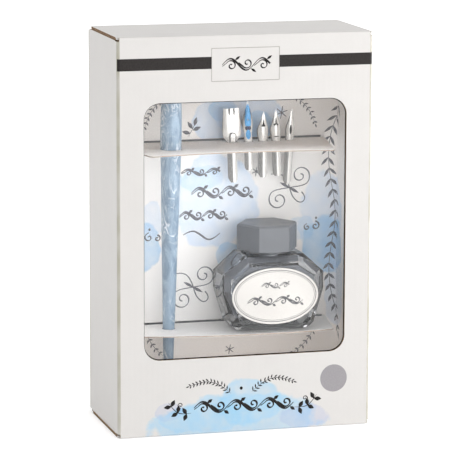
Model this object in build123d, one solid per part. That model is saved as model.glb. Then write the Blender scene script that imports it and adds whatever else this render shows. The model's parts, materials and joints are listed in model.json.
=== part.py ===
from build123d import *
import math
import os

# Calligraphy set box: a tuck-end carton with a window, holding a card insert with two shelves,
# a pen holder, five nibs and a bottle of ink. Millimetres, +Z up, front towards -Y.
# The origin is the middle of the footprint, on the surface the carton stands on.

# ---- Carton: driving dimensions
box_width = 134.0
box_depth = 64.0
box_height = 205.0
board = 1.2  # thickness of the carton's board
corner_radius = 1.6  # outside of the vertical folds
crease = 0.05  # air between a flap's root and the round edge it folds about
flap_gap = 0.25  # air between the lid and the dust flaps under it

# ---- Window and its film
window_width = 106.6
window_height = 132.0
window_sill = 39.5  # bottom of the window above the floor
window_radius = 8.5
film_thickness = 0.25
film_margin = 6.0  # glued border round the window

# ---- Closures, the same at the top and the bottom
lid_side_gap = 0.2  # the lid stops this far inside the carton's outer width
bend_radius = 3.0  # outside of the bend between lid and tuck flap
tuck_length = 14.0
tuck_lean = 18.0  # degrees that the tuck flap leans in, so that its tip clears the back panel
bend_side_gap = 0.4  # between the bend and each side panel
tuck_side_gap = 2.6  # between the tuck flap and each side panel, clear of the insert's wings
tuck_wall_gap = 0.35  # between the bend and the back panel
tuck_corner = 8.0
dust_length = 42.0
dust_slant = 0.5  # the front edge recedes by this much for each mm from the side panel
dust_front_gap = 3.0
dust_back_gap = 3.8  # between the dust flap and the back panel's inside
dust_corner = 5.0
back_drop = 2.5  # the back panel's top edge stops this far below the lid's face
corner_nick = 0.3  # the back panel's ends stop this far outside the side panels' insides
glue_flap_width = 14.0
glue_flap_inset = 7.0  # from the carton's ends
glue_flap_slant = 0.4  # its end corners are cut back by this share of its width
seam = 0.25  # groove where the left panel's raw edge meets the back panel's fold
raw_edge_round = 0.9  # radius of the back panel's fold beside that edge

# ---- Card insert
card = 0.6
card_face_y = 19.7  # front face of the display card
card_fold = 1.0  # outside radius of the card's folds
insert_gap = 0.3  # air between the insert and what it slides past
wing_front_y = -28.5
insert_top_gap = 3.0
backing_lift = 2.0  # the backing card stands this much above the display card's foot
shelf_clearance = 0.3
upper_shelf_z = 144.05  # upper face
lower_shelf_z = 47.55
upper_slot_air = 1.2  # open slot above each shelf
lower_slot_air = 0.5
shelf_root = 10.0  # height of the glued tab behind the display card
shelf_half_width = 57.0
shelf_front_half_width = 48.6
lower_half_width = 58.5
lower_front_half_width = 53.0
shelf_corner = 2.5
upper_front = (-28.6, -23.2, -28.6)  # y of the front edge: left corner, middle, right corner
lower_front = (-8.0, -16.8, -14.6)

# ---- Pen holder
pen_upper = (-32.4, -5.0)  # x, y of the axis where it crosses the upper shelf
pen_lower = (-30.4, 7.5)  # and the lower shelf
pen_tail_below_shelf = 35.0
pen_length = 166.0
pen_tail_radius = 2.3
pen_swell_radius = 5.45  # where the straight taper ends and the grip begins
pen_swell_at = 134.0  # from the tail end
pen_mouth_radius = 4.7
pen_tail_bevel = 1.0
pen_hole_clearance = 0.35
ferrule_radius = 4.1
ferrule_wall = 0.35
ferrule_bury = 14.0  # length inside the barrel
ferrule_show = 7.0  # length outside it
ferrule_lip = 0.5  # the lip stands out this far
ferrule_lip_height = 1.3
grip_clearance = 0.05
grip_wall = 0.5
grip_floor = 2.0
grip_slot = 0.9
grip_slot_foot = 5.0  # uncut length at the foot of the split core
grip_recess = 3.0  # the core stops this far inside the ferrule's mouth

# ---- Nibs: x is the row position and lean the tilt from upright, in degrees, towards +X;
# up, down and vent are from the upper shelf's upper face
nibs = (
    dict(name="scroll_nib", x=4.9, lean=-2.2, body=10.0, tail=5.2, up=17.8, down=21.2),
    dict(name="blue_nib", x=13.7, lean=-2.0, body=6.6, tail=4.5, up=21.0, down=15.1, vent=11.5),
    dict(name="vented_nib", x=21.7, lean=0.0, body=6.4, tail=4.9, up=15.3, down=19.1, vent=8.6),
    dict(name="trefoil_nib", x=28.9, lean=-2.2, body=6.2, tail=4.8, up=16.2, down=18.7, vent=9.0),
    dict(name="slotted_nib", x=36.2, lean=3.3, body=5.2, tail=4.3, up=16.2, down=23.1, vent=5.4),
)
nib_y = 12.0  # middle of the row
steel = 0.35
slit_clearance = 0.3  # between a nib and its slit in the shelf
tail_bow = 0.54  # radius of the scroll nib's tail channel, as a share of its width
flat_bow = 1.3  # radius of its body, as a share of its width
deep_bow = 0.53  # radius of the other nibs, as a share of their body's width
heel_lift = 0.4  # the bodies start to widen this far above the shelf
heel_height = 3.0  # the scroll nib's channel has opened out at this height
tail_slant = 3.2  # the tail's back corners are cut away over this height
nib_slit = 0.12
nib_point = 0.24
edge_share = 0.84  # the scroll nib's writing edge, as a share of its body's width
scroll_widest = (0.17, 0.45)  # it is widest between these shares of its height above the shelf
leaf_widest = 0.36  # the same for the leaf-shaped nibs
waist_share = 0.86  # the waisted nib's waist, as a share of its tail's width
waist_at = 0.2  # share of the height
waisted_widest = 0.5
shoulder_round = 3.0  # radius at the scroll nib's shoulders
belly_round = 9.0  # and where the other nibs are widest
waist_round = 5.0
round_vent = 0.5  # radius
triangle_vent = 1.25  # from its middle to a corner
trefoil_lobe = 0.5  # radius of a lobe
trefoil_spread = 0.85  # from the middle to a lobe's middle
slot_vent = (4.2, 0.95)  # length and width
tooth_slit = 0.6
tooth_depth = 2.6
tooth_pitch = 2.6
reservoir_width = 3.4
reservoir_height = 5.0
reservoir_depth = 1.1
reservoir_thickness = 0.3
reservoir_foot = 0.2  # its lower end above the shelf
reservoir_gap = 0.02

# ---- Ink bottle
bottle_x = 20.5
bottle_y = 0.0
bottle_half_width = 27.2
bottle_front = 16.5  # from the axis to the front face
bottle_back = 16.5
bottle_shoulder_z = 30.5
bottle_waist_z = 21.5
bottle_heel_z = 4.0
bottle_heel_half = 22.0
bottle_base_half = 18.0
bottle_top_z = 40.5
bottle_top_half = 16.2
front_bevel = 3.4
front_bevel_depth = 4.2
back_bevel = 8.5
back_bevel_depth = 10.0
heel_recess = 8.0
heel_rise = 4.4
glass_wall = 2.4
glass_base = 6.0
ink_gap = 0.05
neck_radius = 12.0
neck_bore = 9.4
neck_top_z = 52.4
band_radius = 12.6  # plain band round the neck, under the cap's rim
band_height = 0.7
rim_gap = 0.3  # air between the band and the cap
cap_flat = 28.3  # across flats
cap_foot_z = 41.9
cap_height = 13.5
cap_bore_clearance = 0.95
cap_edge = 0.9  # bevel round its top
cap_corner = 1.0  # radius of its upright corners
liner_thickness = 0.8
liner_radius = 12.4
fill_gap = 3.5  # from the ink up to the rim
label_width = 46.4
label_height = 29.6
label_z = 19.4
label_thickness = 0.15

# ---- Worked-out places
half_width = box_width / 2
half_depth = box_depth / 2
inner_x = half_width - board
inner_y = half_depth - board
hinge_y = -half_depth + board / 2  # lid hinge, at mid-board of the front panel
hinge_z = box_height - board / 2
root = board / 2 + crease  # a flap starts this far from its hinge axis
dust_hinge_z = box_height - board - flap_gap - board / 2
dust_hinge_x = half_width - board / 2
tuck_wall_y = inner_y - tuck_wall_gap
tuck_hinge_y = tuck_wall_y - board / 2
tuck_hinge_z = box_height - bend_radius
insert_left = -inner_x + board + insert_gap  # the glue flap lies on the left panel
insert_right = inner_x - insert_gap
insert_bottom = 2 * board + flap_gap + insert_gap
insert_top = box_height - 2 * board - flap_gap - insert_top_gap
tuck_half_width = inner_x - tuck_side_gap
dust_half_root = half_depth - board - dust_front_gap
dust_back_y = inner_y - dust_back_gap
tab_back_y = card_face_y + 2 * card
bottle_place = Pos(bottle_x, bottle_y, lower_shelf_z)


def box_between(low, high):
    """A block from its lowest to its highest corner."""
    size = [high[i] - low[i] for i in range(3)]
    middle = [(high[i] + low[i]) / 2 for i in range(3)]
    return Pos(*middle) * Box(*size)


def rod_x(radius, y, z, half_length):
    return Pos(0, y, z) * Rot(0, 90, 0) * Cylinder(radius, 2 * half_length)


def rod_y(radius, x, z, low_y, high_y):
    return Pos(x, (low_y + high_y) / 2, z) * Rot(90, 0, 0) * Cylinder(radius, high_y - low_y)


def corners_near(face, points, reach=0.01):
    """The vertices of a flat face that lie at the given x, y points."""
    return [v for v in face.vertices() for p in points if abs(v.X - p[0]) < reach and abs(v.Y - p[1]) < reach]


# ---- Carton
def sleeve_plan():
    """The folded sheet in plan: three round folds, and a glued corner at the back left."""
    outside = Rectangle(box_width, box_depth)
    folds = [(half_width, half_depth), (half_width, -half_depth), (-half_width, -half_depth)]
    outside = fillet(corners_near(outside, folds), corner_radius)
    inside = Rectangle(2 * inner_x, 2 * inner_y)
    folds = [(inner_x, inner_y), (inner_x, -inner_y), (-inner_x, -inner_y)]
    inside = fillet(corners_near(inside, folds), corner_radius - board)
    ring = outside - inside
    groove = Pos(-inner_x - seam / 2, half_depth - board / 2) * Rectangle(seam, board + 0.001)
    ring -= groove
    return fillet(corners_near(ring, [(-inner_x, half_depth)]), raw_edge_round)


def glue_flap():
    low = (-inner_x, inner_y - glue_flap_width, glue_flap_inset)
    high = (-inner_x + board, inner_y, box_height - glue_flap_inset)
    flap = box_between(low, high)
    free_edge = flap.edges().filter_by(Axis.X).sort_by(Axis.Y)[:2]
    return chamfer(free_edge, glue_flap_width * glue_flap_slant)


def carton_sleeve():
    """Front, sides, back and glue flap, cut from one sheet and folded."""
    sleeve = extrude(sleeve_plan(), box_height)
    front_inside = -half_depth + board
    for side in (1, -1):  # 1 is the top end, -1 the bottom
        def level(height):
            return height if side > 0 else box_height - height

        def trim(low, high):
            z = sorted((level(low[2]), level(high[2])))
            return box_between((low[0], low[1], z[0]), (high[0], high[1], z[1]))

        back_edge = box_height - back_drop if side > 0 else box_height
        over = box_height + 1
        sleeve -= trim((-half_width - 1, front_inside, dust_hinge_z), (half_width + 1, inner_y, over))
        sleeve -= trim((-half_width - 1, inner_y, back_edge), (half_width + 1, half_depth + 1, over))
        for x in (-1, 1):
            ends = sorted((x * inner_x, x * (half_width + 1)))
            sleeve -= trim((ends[0], -half_depth - 1, dust_hinge_z), (ends[1], front_inside, over))
            ends = sorted((x * (inner_x + corner_nick), x * (half_width + 1)))
            sleeve -= trim((ends[0], inner_y - 1, dust_hinge_z), (ends[1], half_depth + 1, over))
            sleeve += rod_y(board / 2, x * dust_hinge_x, level(dust_hinge_z), -dust_half_root, dust_back_y)
        sleeve -= trim((-half_width - 1, -half_depth - 1, hinge_z), (half_width + 1, front_inside, over))
        sleeve += rod_x(board / 2, hinge_y, level(hinge_z), inner_x)
    sleeve += glue_flap()
    window = extrude(RectangleRounded(window_width, window_height, window_radius), 2 * board, both=True)
    return sleeve - Pos(0, -half_depth, window_sill + window_height / 2) * Rot(90, 0, 0) * window


def window_film():
    """Clear sheet glued behind the window."""
    width = window_width + 2 * film_margin
    height = window_height + 2 * film_margin
    y = -half_depth + board + film_thickness / 2
    return Pos(0, y, window_sill + window_height / 2) * Box(width, film_thickness, height)


# ---- Closures, built at the top and mirrored for the bottom
def lid():
    """Flat panel from the front hinge, with the bend towards the tuck flap at its back edge."""
    flat_half = half_width - lid_side_gap
    bend_half = inner_x - bend_side_gap
    bend_y = tuck_wall_y - bend_radius
    flat = box_between((-flat_half, hinge_y + root, box_height - board), (flat_half, bend_y, box_height))
    side_corners = flat.edges().filter_by(Axis.Z).sort_by(Axis.Y)[-2:]
    flat = chamfer(side_corners, flat_half - bend_half)
    bend = rod_x(bend_radius, bend_y, tuck_hinge_z, bend_half)
    bend -= rod_x(bend_radius - board, bend_y, tuck_hinge_z, half_width)
    quarter = box_between((-half_width, bend_y, tuck_hinge_z), (half_width, half_depth, box_height))
    end = rod_x(board / 2, tuck_hinge_y, tuck_hinge_z, bend_half)
    return flat + (bend & quarter) + end


def tuck_flap():
    """Hangs from the bend and leans in; its free corners are round."""
    outline = Rectangle(2 * tuck_half_width, tuck_length, align=(Align.CENTER, Align.MAX))
    low = [(-tuck_half_width, -tuck_length), (tuck_half_width, -tuck_length)]
    outline = fillet(corners_near(outline, low), tuck_corner)
    flap = Rot(90, 0, 0) * extrude(outline, board / 2, both=True)
    flap = Pos(0, 0, -root) * flap
    return Pos(0, tuck_hinge_y, tuck_hinge_z) * Rot(-tuck_lean, 0, 0) * flap


def dust_flap(side):
    """Folds in from a side panel; its slanted front edge keeps it under the rising lid."""
    start = hinge_y + dust_front_gap
    tip_front = start + dust_slant * dust_length
    outline = make_face(Polyline(
        (root, start + dust_slant * root),
        (dust_length, tip_front),
        (dust_length, dust_back_y - dust_corner / 2),
        (root, dust_back_y),
        close=True,
    ))
    tips = [(dust_length, tip_front), (dust_length, dust_back_y - dust_corner / 2)]
    outline = fillet(corners_near(outline, tips), dust_corner)
    flap = Pos(-dust_hinge_x, 0, dust_hinge_z) * extrude(outline, board / 2, both=True)
    return flap if side < 0 else mirror(flap, Plane.YZ)


def at_bottom(solid):
    return mirror(solid, Plane.XY.offset(box_height / 2))


# ---- Card insert
def folded_card(front_y, wing_end_y, left, right, foot_z):
    """A card facing forwards with one wing folded at each side, open in plan."""
    low_y, high_y = sorted((front_y, wing_end_y))
    forwards = wing_end_y < front_y
    back_y = front_y + card
    if forwards:
        high_y = back_y
    outline = Pos((left + right) / 2, (low_y + high_y) / 2) * Rectangle(right - left, high_y - low_y)
    fold_y = high_y if forwards else low_y
    outline = fillet(corners_near(outline, [(left, fold_y), (right, fold_y)]), card_fold)
    cut_low, cut_high = (low_y - 1, front_y) if forwards else (back_y, high_y + 1)
    hollow_width = right - left - 2 * card
    hollow = Pos((left + right) / 2, (cut_low + cut_high) / 2) * Rectangle(hollow_width, cut_high - cut_low)
    hollow_y = cut_high if forwards else cut_low
    inner_corners = [(left + card, hollow_y), (right - card, hollow_y)]
    hollow = fillet(corners_near(hollow, inner_corners), card_fold - card)
    return Pos(0, 0, foot_z) * extrude(outline - hollow, insert_top - foot_z)


def slot(shelf_z, air, half):
    low = (-half - shelf_clearance, card_face_y - card, shelf_z - card - 0.1)
    high = (half + shelf_clearance, card_face_y + 1.5 * card, shelf_z + air)
    return box_between(low, high)


def display_card():
    """Printed card with its wings folded forwards, slotted for the two shelves."""
    piece = folded_card(card_face_y, wing_front_y, insert_left, insert_right, insert_bottom)
    piece -= slot(upper_shelf_z, upper_slot_air, shelf_half_width)
    return piece - slot(lower_shelf_z, lower_slot_air, lower_half_width)


def backing_card():
    """Carries the shelves, and its rear wings hold the display card off the back panel."""
    foot_z = insert_bottom + backing_lift
    return folded_card(tab_back_y, inner_y - insert_gap, insert_left, insert_right, foot_z)


def shelf_plate(shelf_z, half, front_half, front):
    """A shelf: flat plate through its slot, with a glued tab folded up behind the card."""
    left_y, middle_y, right_y = front
    outline = make_face([
        ThreePointArc((-front_half, left_y), (0, middle_y), (front_half, right_y)),
        Line((front_half, right_y), (half, card_face_y - 2)),
        Line((half, card_face_y - 2), (half, tab_back_y)),
        Line((half, tab_back_y), (-half, tab_back_y)),
        Line((-half, tab_back_y), (-half, card_face_y - 2)),
        Line((-half, card_face_y - 2), (-front_half, left_y)),
    ])
    outline = fillet(corners_near(outline, [(-front_half, left_y), (front_half, right_y)]), shelf_corner)
    plate = Pos(0, 0, shelf_z - card) * extrude(outline, card)
    tab = box_between((-half, tab_back_y - card, shelf_z - card), (half, tab_back_y, shelf_z + shelf_root))
    return plate + tab


def upper_shelf():
    plate = shelf_plate(upper_shelf_z, shelf_half_width, shelf_front_half_width, upper_front)
    plate -= pen_hole(upper_shelf_z)
    for nib in nibs:
        width = nib["tail"] + 2 * slit_clearance
        deep = tail_depth(nib) + 2 * slit_clearance
        plate -= nib_place(nib) * Box(width, deep, 4 * card)
    return plate


def lower_shelf():
    plate = shelf_plate(lower_shelf_z, lower_half_width, lower_front_half_width, lower_front)
    return plate - pen_hole(lower_shelf_z)


# ---- Pen holder
def pen_frame():
    """Plane whose z axis runs up the pen, with its origin at the tail end."""
    rise = upper_shelf_z - lower_shelf_z
    direction = Vector(pen_upper[0] - pen_lower[0], pen_upper[1] - pen_lower[1], rise).normalized()
    crossing = Vector(pen_lower[0], pen_lower[1], lower_shelf_z)
    return Plane(origin=crossing - direction * pen_tail_below_shelf, x_dir=(1, 0, 0), z_dir=direction)


def pen_radius_at(distance):
    """Radius of the straight taper this far from the tail end."""
    return pen_tail_radius + (pen_swell_radius - pen_tail_radius) * distance / pen_swell_at


def pen_hole(shelf_z):
    along = pen_tail_below_shelf + (shelf_z - lower_shelf_z)
    radius = pen_radius_at(along) + pen_hole_clearance
    return pen_frame() * Pos(0, 0, along) * Cylinder(radius, 6 * card)


def pen_barrel():
    """Slim turned handle: a long straight taper, then a swelling grip bored for the ferrule."""
    foot = (pen_tail_radius - pen_tail_bevel, 0)
    bevel_top = (pen_radius_at(pen_tail_bevel), pen_tail_bevel)
    swell = (pen_swell_radius, pen_swell_at)
    mouth = (pen_mouth_radius, pen_length)
    taper = Line(bevel_top, swell)
    profile = make_face([
        Line((0, 0), foot),
        Line(foot, bevel_top),
        taper,
        TangentArc(swell, mouth, tangent=taper % 1),
        Line(mouth, (0, pen_length)),
        Line((0, pen_length), (0, 0)),
    ])
    barrel = revolve(Plane.XZ * profile, Axis.Z)
    bore = Pos(0, 0, pen_length - ferrule_bury / 2) * Cylinder(ferrule_radius, ferrule_bury + 0.001)
    return pen_frame() * (barrel - bore)


def pen_ferrule():
    """Thin metal sleeve pressed into the barrel, with a raised lip at its mouth."""
    length = ferrule_bury + ferrule_show
    low = pen_length - ferrule_bury
    lip = Cylinder(ferrule_radius + ferrule_lip, ferrule_lip_height)
    sleeve = Pos(0, 0, low + length / 2) * Cylinder(ferrule_radius, length)
    sleeve += Pos(0, 0, low + length - ferrule_lip_height / 2) * lip
    sleeve -= Pos(0, 0, low + length / 2 + ferrule_wall) * Cylinder(ferrule_radius - ferrule_wall, length)
    return pen_frame() * sleeve


def pen_nib_grip():
    """Split spring core inside the ferrule that pinches a nib's tail against its wall."""
    length = ferrule_bury + ferrule_show - grip_recess
    radius = ferrule_radius - ferrule_wall - steel - grip_clearance
    low = pen_length - ferrule_bury + ferrule_wall
    core = Pos(0, 0, low + length / 2) * Cylinder(radius, length)
    core -= Pos(0, 0, low + length / 2 + grip_floor) * Cylinder(radius - grip_wall, length)
    for turn in (0, 90):
        slot_cut = Rot(0, 0, turn) * Box(grip_slot, 2 * radius + 1, length)
        core -= Pos(0, 0, low + grip_slot_foot + length / 2) * slot_cut
    return pen_frame() * core


# ---- Nibs
def sag(radius, width):
    """How far an arc of this radius bows over this width."""
    return radius - math.sqrt(radius**2 - (width / 2) ** 2)


def has_flat_body(nib):
    return nib["name"] == "scroll_nib"


def tail_radius(nib):
    """Outer radius of the channel below the shelf."""
    return tail_bow * nib["tail"] if has_flat_body(nib) else deep_bow * nib["body"]


def tail_depth(nib):
    """Depth of the tail's channel. A tail narrower than its channel is cut square to the front."""
    inset = 0.0 if has_flat_body(nib) else steel
    return sag(tail_radius(nib) - inset, nib["tail"]) + steel


def nib_place(nib):
    """Where the nib's axis crosses the upper shelf, leaning to one side."""
    return Pos(nib["x"], nib_y, upper_shelf_z) * Rot(0, nib["lean"], 0)


def channel_section(width, radius, crown_y, height):
    """A bowed strip of sheet steel in plan, its crown towards the front."""
    half_angle = math.degrees(math.asin(width / 2 / radius))
    start, turn = -90 - half_angle, 2 * half_angle
    arcs = [CenterArc((0, crown_y + radius), r, start, turn) for r in (radius, radius - steel)]
    ends = [Line(arcs[0] @ 0, arcs[1] @ 0), Line(arcs[0] @ 1, arcs[1] @ 1)]
    return Pos(0, 0, height) * make_face([*arcs, *ends])


def one_bend(nib):
    """Sheet bent to one channel from end to end."""
    section = channel_section(nib["body"], tail_radius(nib), -tail_depth(nib) / 2, -nib["down"])
    return extrude(section, nib["down"] + nib["up"])


def opened_bend(nib):
    """A deep channel at the tail that opens out at the heel into a nearly flat body."""
    crown_y = -tail_depth(nib) / 2
    root = channel_section(nib["tail"], tail_radius(nib), crown_y, heel_lift)
    spread = channel_section(nib["body"], flat_bow * nib["body"], crown_y, heel_height)
    blank = extrude(root, -nib["down"] - heel_lift)
    blank += loft([root, spread])
    return blank + extrude(spread, nib["up"] - heel_height)


def scroll_side(nib):
    """Right side of a broad body with a square writing edge, from the shelf up."""
    half, top = nib["body"] / 2, nib["up"]
    widest = [(half, top * share) for share in scroll_widest]
    points = [(nib["tail"] / 2, heel_lift), *widest, (half * edge_share, top)]
    return FilletPolyline(*points, radius=[shoulder_round, 4 * shoulder_round])


def leaf_side(nib):
    """Right side of a leaf-shaped body that runs out to a point."""
    top = nib["up"]
    points = [(nib["tail"] / 2, heel_lift), (nib["body"] / 2, top * leaf_widest), (nib_point / 2, top)]
    return FilletPolyline(*points, radius=belly_round)


def waisted_side(nib):
    """The same for the pointed nib, which is drawn in above its heel."""
    root_half, half, top = nib["tail"] / 2, nib["body"] / 2, nib["up"]
    waist = (root_half * waist_share, top * waist_at)
    points = [(root_half, heel_lift), waist, (half, top * waisted_widest), (nib_point / 2, top)]
    return FilletPolyline(*points, radius=[waist_round, belly_round / 2])


def nib_outline(nib, side):
    """The nib's outline seen from the front: its tail, and this side with its mirror image."""
    root_half, low = nib["tail"] / 2, -nib["down"]
    half_face = make_face([
        side,
        Line(side @ 1, (0, nib["up"])),
        Line((0, nib["up"]), (0, low)),
        Line((0, low), (root_half, low)),
        Line((root_half, low), side @ 0),
    ])
    return half_face + mirror(half_face, Plane.YZ)


def point_slit(nib):
    """From the vent to beyond the point."""
    length = nib["up"] + 1 - nib["vent"]
    return Pos(0, nib["vent"] + length / 2) * Rectangle(nib_slit, length)


def cut_nib(nib, blank, side, cuts):
    """The bent sheet cut to the nib's outline, with its openings and with slanted tail corners."""
    shape = blank & (Rot(90, 0, 0) * extrude(nib_outline(nib, side), nib["body"], both=True))
    for cut in cuts:
        shape -= Rot(90, 0, 0) * extrude(cut, nib["body"], both=True)
    front, back, low = -tail_depth(nib) / 2 + steel, tail_depth(nib) / 2, -nib["down"]
    corners = [(front, low - 1), (front, low), (back, low + tail_slant), (back, low - 1)]
    slant = make_face(Polyline(*corners, close=True))
    shape -= Plane.YZ * extrude(slant, nib["tail"], both=True)
    return nib_place(nib) * shape


def scroll_nib(nib):
    """Broad nib with three teeth."""
    tooth_gap = Rectangle(tooth_slit, 2 * tooth_depth)
    cuts = [Pos(side * tooth_pitch / 2, nib["up"]) * tooth_gap for side in (-1, 1)]
    return cut_nib(nib, opened_bend(nib), scroll_side(nib), cuts)


def blue_nib(nib):
    """Slender waisted nib with a small round vent."""
    cuts = [point_slit(nib), Pos(0, nib["vent"]) * Circle(round_vent)]
    return cut_nib(nib, one_bend(nib), waisted_side(nib), cuts)


def vented_nib(nib):
    """Leaf-shaped nib with a triangular vent."""
    vent = Pos(0, nib["vent"]) * Rot(0, 0, 90) * RegularPolygon(triangle_vent, 3)
    return cut_nib(nib, one_bend(nib), leaf_side(nib), [point_slit(nib), vent])


def trefoil_nib(nib):
    """Leaf-shaped nib with a three-lobed vent."""
    middle = Pos(0, nib["vent"])
    lobe = Pos(trefoil_spread, 0) * Circle(trefoil_lobe)
    lobes = [middle * Rot(0, 0, 90 + turn) * lobe for turn in (0, 120, 240)]
    cuts = [point_slit(nib), middle * Circle(trefoil_lobe), *lobes]
    return cut_nib(nib, one_bend(nib), leaf_side(nib), cuts)


def slotted_nib(nib):
    """Leaf-shaped nib with a long vent."""
    vent = Pos(0, nib["vent"]) * SlotOverall(*slot_vent, rotation=90)
    return cut_nib(nib, one_bend(nib), leaf_side(nib), [point_slit(nib), vent])


def nib_reservoir():
    """Small arched clip over the front of the scroll nib, open behind and below, just above the shelf."""
    nib = nibs[0]
    half = reservoir_width / 2
    arch = Pos(0, reservoir_height - half) * Circle(half)
    arch += Pos(0, (reservoir_height - half) / 2) * Rectangle(reservoir_width, reservoir_height - half)
    hollow = Pos(0, reservoir_height - half) * Circle(half - reservoir_thickness)
    hollow_width = reservoir_width - 2 * reservoir_thickness
    hollow += Pos(0, (reservoir_height - half - 1) / 2) * Rectangle(hollow_width, reservoir_height - half + 1)
    clip = Rot(90, 0, 0) * extrude(arch, reservoir_depth)
    clip -= Rot(90, 0, 0) * extrude(hollow, reservoir_depth - reservoir_thickness)
    return nib_place(nib) * Pos(0, -tail_depth(nib) / 2 - reservoir_gap, reservoir_foot) * clip


# ---- Ink bottle
def bottle_silhouette(shrink):
    """Front view of the body: narrow foot, widest at mid-height, sloping shoulders."""
    base = 0 if shrink == 0 else glass_base + shrink - glass_wall
    right = [
        (bottle_base_half - shrink, base),
        (bottle_heel_half - shrink, base + bottle_heel_z),
        (bottle_half_width - shrink, bottle_waist_z),
        (bottle_half_width - shrink, bottle_shoulder_z),
        (bottle_top_half - shrink, bottle_top_z - shrink),
    ]
    left = [(-x, z) for x, z in reversed(right)]
    return right + left


def bevel_plane(start, end, start_y, side, inset, depth):
    """Plane through one edge of the silhouette, leaning in by this inset over this depth."""
    along = Vector(end[0] - start[0], 0, end[1] - start[1]).normalized()
    outwards = along.cross(Vector(0, -1, 0))
    lean = outwards * depth + Vector(0, side * inset, 0)
    return Plane(origin=(start[0], start_y, start[1]), x_dir=along, z_dir=lean)


def bottle_body(shrink=0.0):
    """Faceted body: the front face is bevelled narrowly, the back face broadly, the foot undercut."""
    front, back = bottle_front - shrink, bottle_back - shrink
    corners = bottle_silhouette(shrink)
    outline = make_face(Polyline(*corners, close=True))
    body = Pos(0, back, 0) * Rot(90, 0, 0) * extrude(outline, front + back)
    floor = glass_base if shrink else 0.0
    bevels = ((-1, front, front_bevel, front_bevel_depth), (1, back, back_bevel, back_bevel_depth))
    for side, reach, inset, depth in bevels:
        start_y = side * (reach - depth)
        for start, end in zip(corners, corners[1:] + corners[:1]):
            plane = bevel_plane(start, end, start_y, side, inset, depth)
            body = split(body, bisect_by=plane, keep=Keep.BOTTOM)
        wedge = make_face(Polyline(
            (side * (reach - heel_recess), floor - 1),
            (side * (reach - heel_recess), floor),
            (side * reach, floor + heel_rise),
            (side * (reach + 1), floor + heel_rise),
            (side * (reach + 1), floor - 1),
            close=True,
        ))
        body -= Plane.YZ * extrude(wedge, bottle_half_width + 1, both=True)
    return body


def bottle_glass():
    """Thick-walled body with a plain round neck and a band under the cap's rim."""
    neck_foot_z = bottle_top_z - 2 * glass_wall
    band_z = cap_foot_z - rim_gap - band_height / 2
    glass = bottle_body()
    glass += Pos(0, 0, (neck_foot_z + neck_top_z) / 2) * Cylinder(neck_radius, neck_top_z - neck_foot_z)
    glass += Pos(0, 0, band_z) * Cylinder(band_radius, band_height)
    glass -= bottle_body(glass_wall)
    glass -= Pos(0, 0, (neck_foot_z + neck_top_z + 1) / 2) * Cylinder(neck_bore, neck_top_z + 1 - neck_foot_z)
    return bottle_place * glass


def ink():
    """Fills the bottle to just below the rim."""
    fill = bottle_body(glass_wall + ink_gap)
    low = bottle_top_z - 2 * glass_wall
    high = neck_top_z - fill_gap
    fill += Pos(0, 0, (low + high) / 2) * Cylinder(neck_bore - ink_gap, high - low)
    return bottle_place * fill


def bottle_cap():
    """Six-sided screw cap with a bevelled top, bored for the neck."""
    hexagon = RegularPolygon(cap_flat / 2, 6, major_radius=False)
    hexagon = fillet(hexagon.vertices(), cap_corner)
    cap = Pos(0, 0, cap_foot_z) * extrude(hexagon, cap_height)
    cap = chamfer(cap.faces().sort_by(Axis.Z)[-1].edges(), cap_edge)
    bore_top = neck_top_z + liner_thickness
    bore = Cylinder(neck_radius + cap_bore_clearance, bore_top - cap_foot_z + 1)
    return bottle_place * (cap - Pos(0, 0, (cap_foot_z - 1 + bore_top) / 2) * bore)


def cap_liner():
    middle_z = neck_top_z + liner_thickness / 2
    return bottle_place * Pos(0, 0, middle_z) * Cylinder(liner_radius, liner_thickness)


def bottle_label():
    oval = Rot(90, 0, 0) * extrude(Ellipse(label_width / 2, label_height / 2), label_thickness)
    return bottle_place * Pos(0, -bottle_front, label_z) * oval


def build():
    nodes = {
        "carton_sleeve": carton_sleeve(),
        "window_film": window_film(),
        "top_lid": lid(),
        "top_tuck_flap": tuck_flap(),
        "top_dust_flap_left": dust_flap(-1),
        "top_dust_flap_right": dust_flap(1),
        "bottom_lid": at_bottom(lid()),
        "bottom_tuck_flap": at_bottom(tuck_flap()),
        "bottom_dust_flap_left": at_bottom(dust_flap(-1)),
        "bottom_dust_flap_right": at_bottom(dust_flap(1)),
        "display_card": display_card(),
        "backing_card": backing_card(),
        "upper_shelf": upper_shelf(),
        "lower_shelf": lower_shelf(),
        "pen_barrel": pen_barrel(),
        "pen_ferrule": pen_ferrule(),
        "pen_nib_grip": pen_nib_grip(),
        "nib_reservoir": nib_reservoir(),
        "bottle_glass": bottle_glass(),
        "ink": ink(),
        "bottle_cap": bottle_cap(),
        "cap_liner": cap_liner(),
        "bottle_label": bottle_label(),
    }
    shapes = (scroll_nib, blue_nib, vented_nib, trefoil_nib, slotted_nib)
    for nib, shape in zip(nibs, shapes):
        nodes[nib["name"]] = shape(nib)
    return nodes


def main():
    os.makedirs("parts", exist_ok=True)
    for name, solid in build().items():
        export_step(solid, os.path.join("parts", name + ".step"))
        print(name, "volume", round(sum(body.volume for body in solid.solids()), 2))


main()
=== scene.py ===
# %% [markdown]
# # The looks of a calligraphy set box
# A tuck-end carton with a film window. Behind the film stand a pen holder, five nibs and a bottle of
# ink, held by a printed card with two shelves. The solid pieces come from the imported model; this script
# gives them their finishes and adds what is printed on them.

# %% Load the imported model
import json
import math

import bmesh
import bpy
from mathutils import Matrix, Vector


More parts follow.
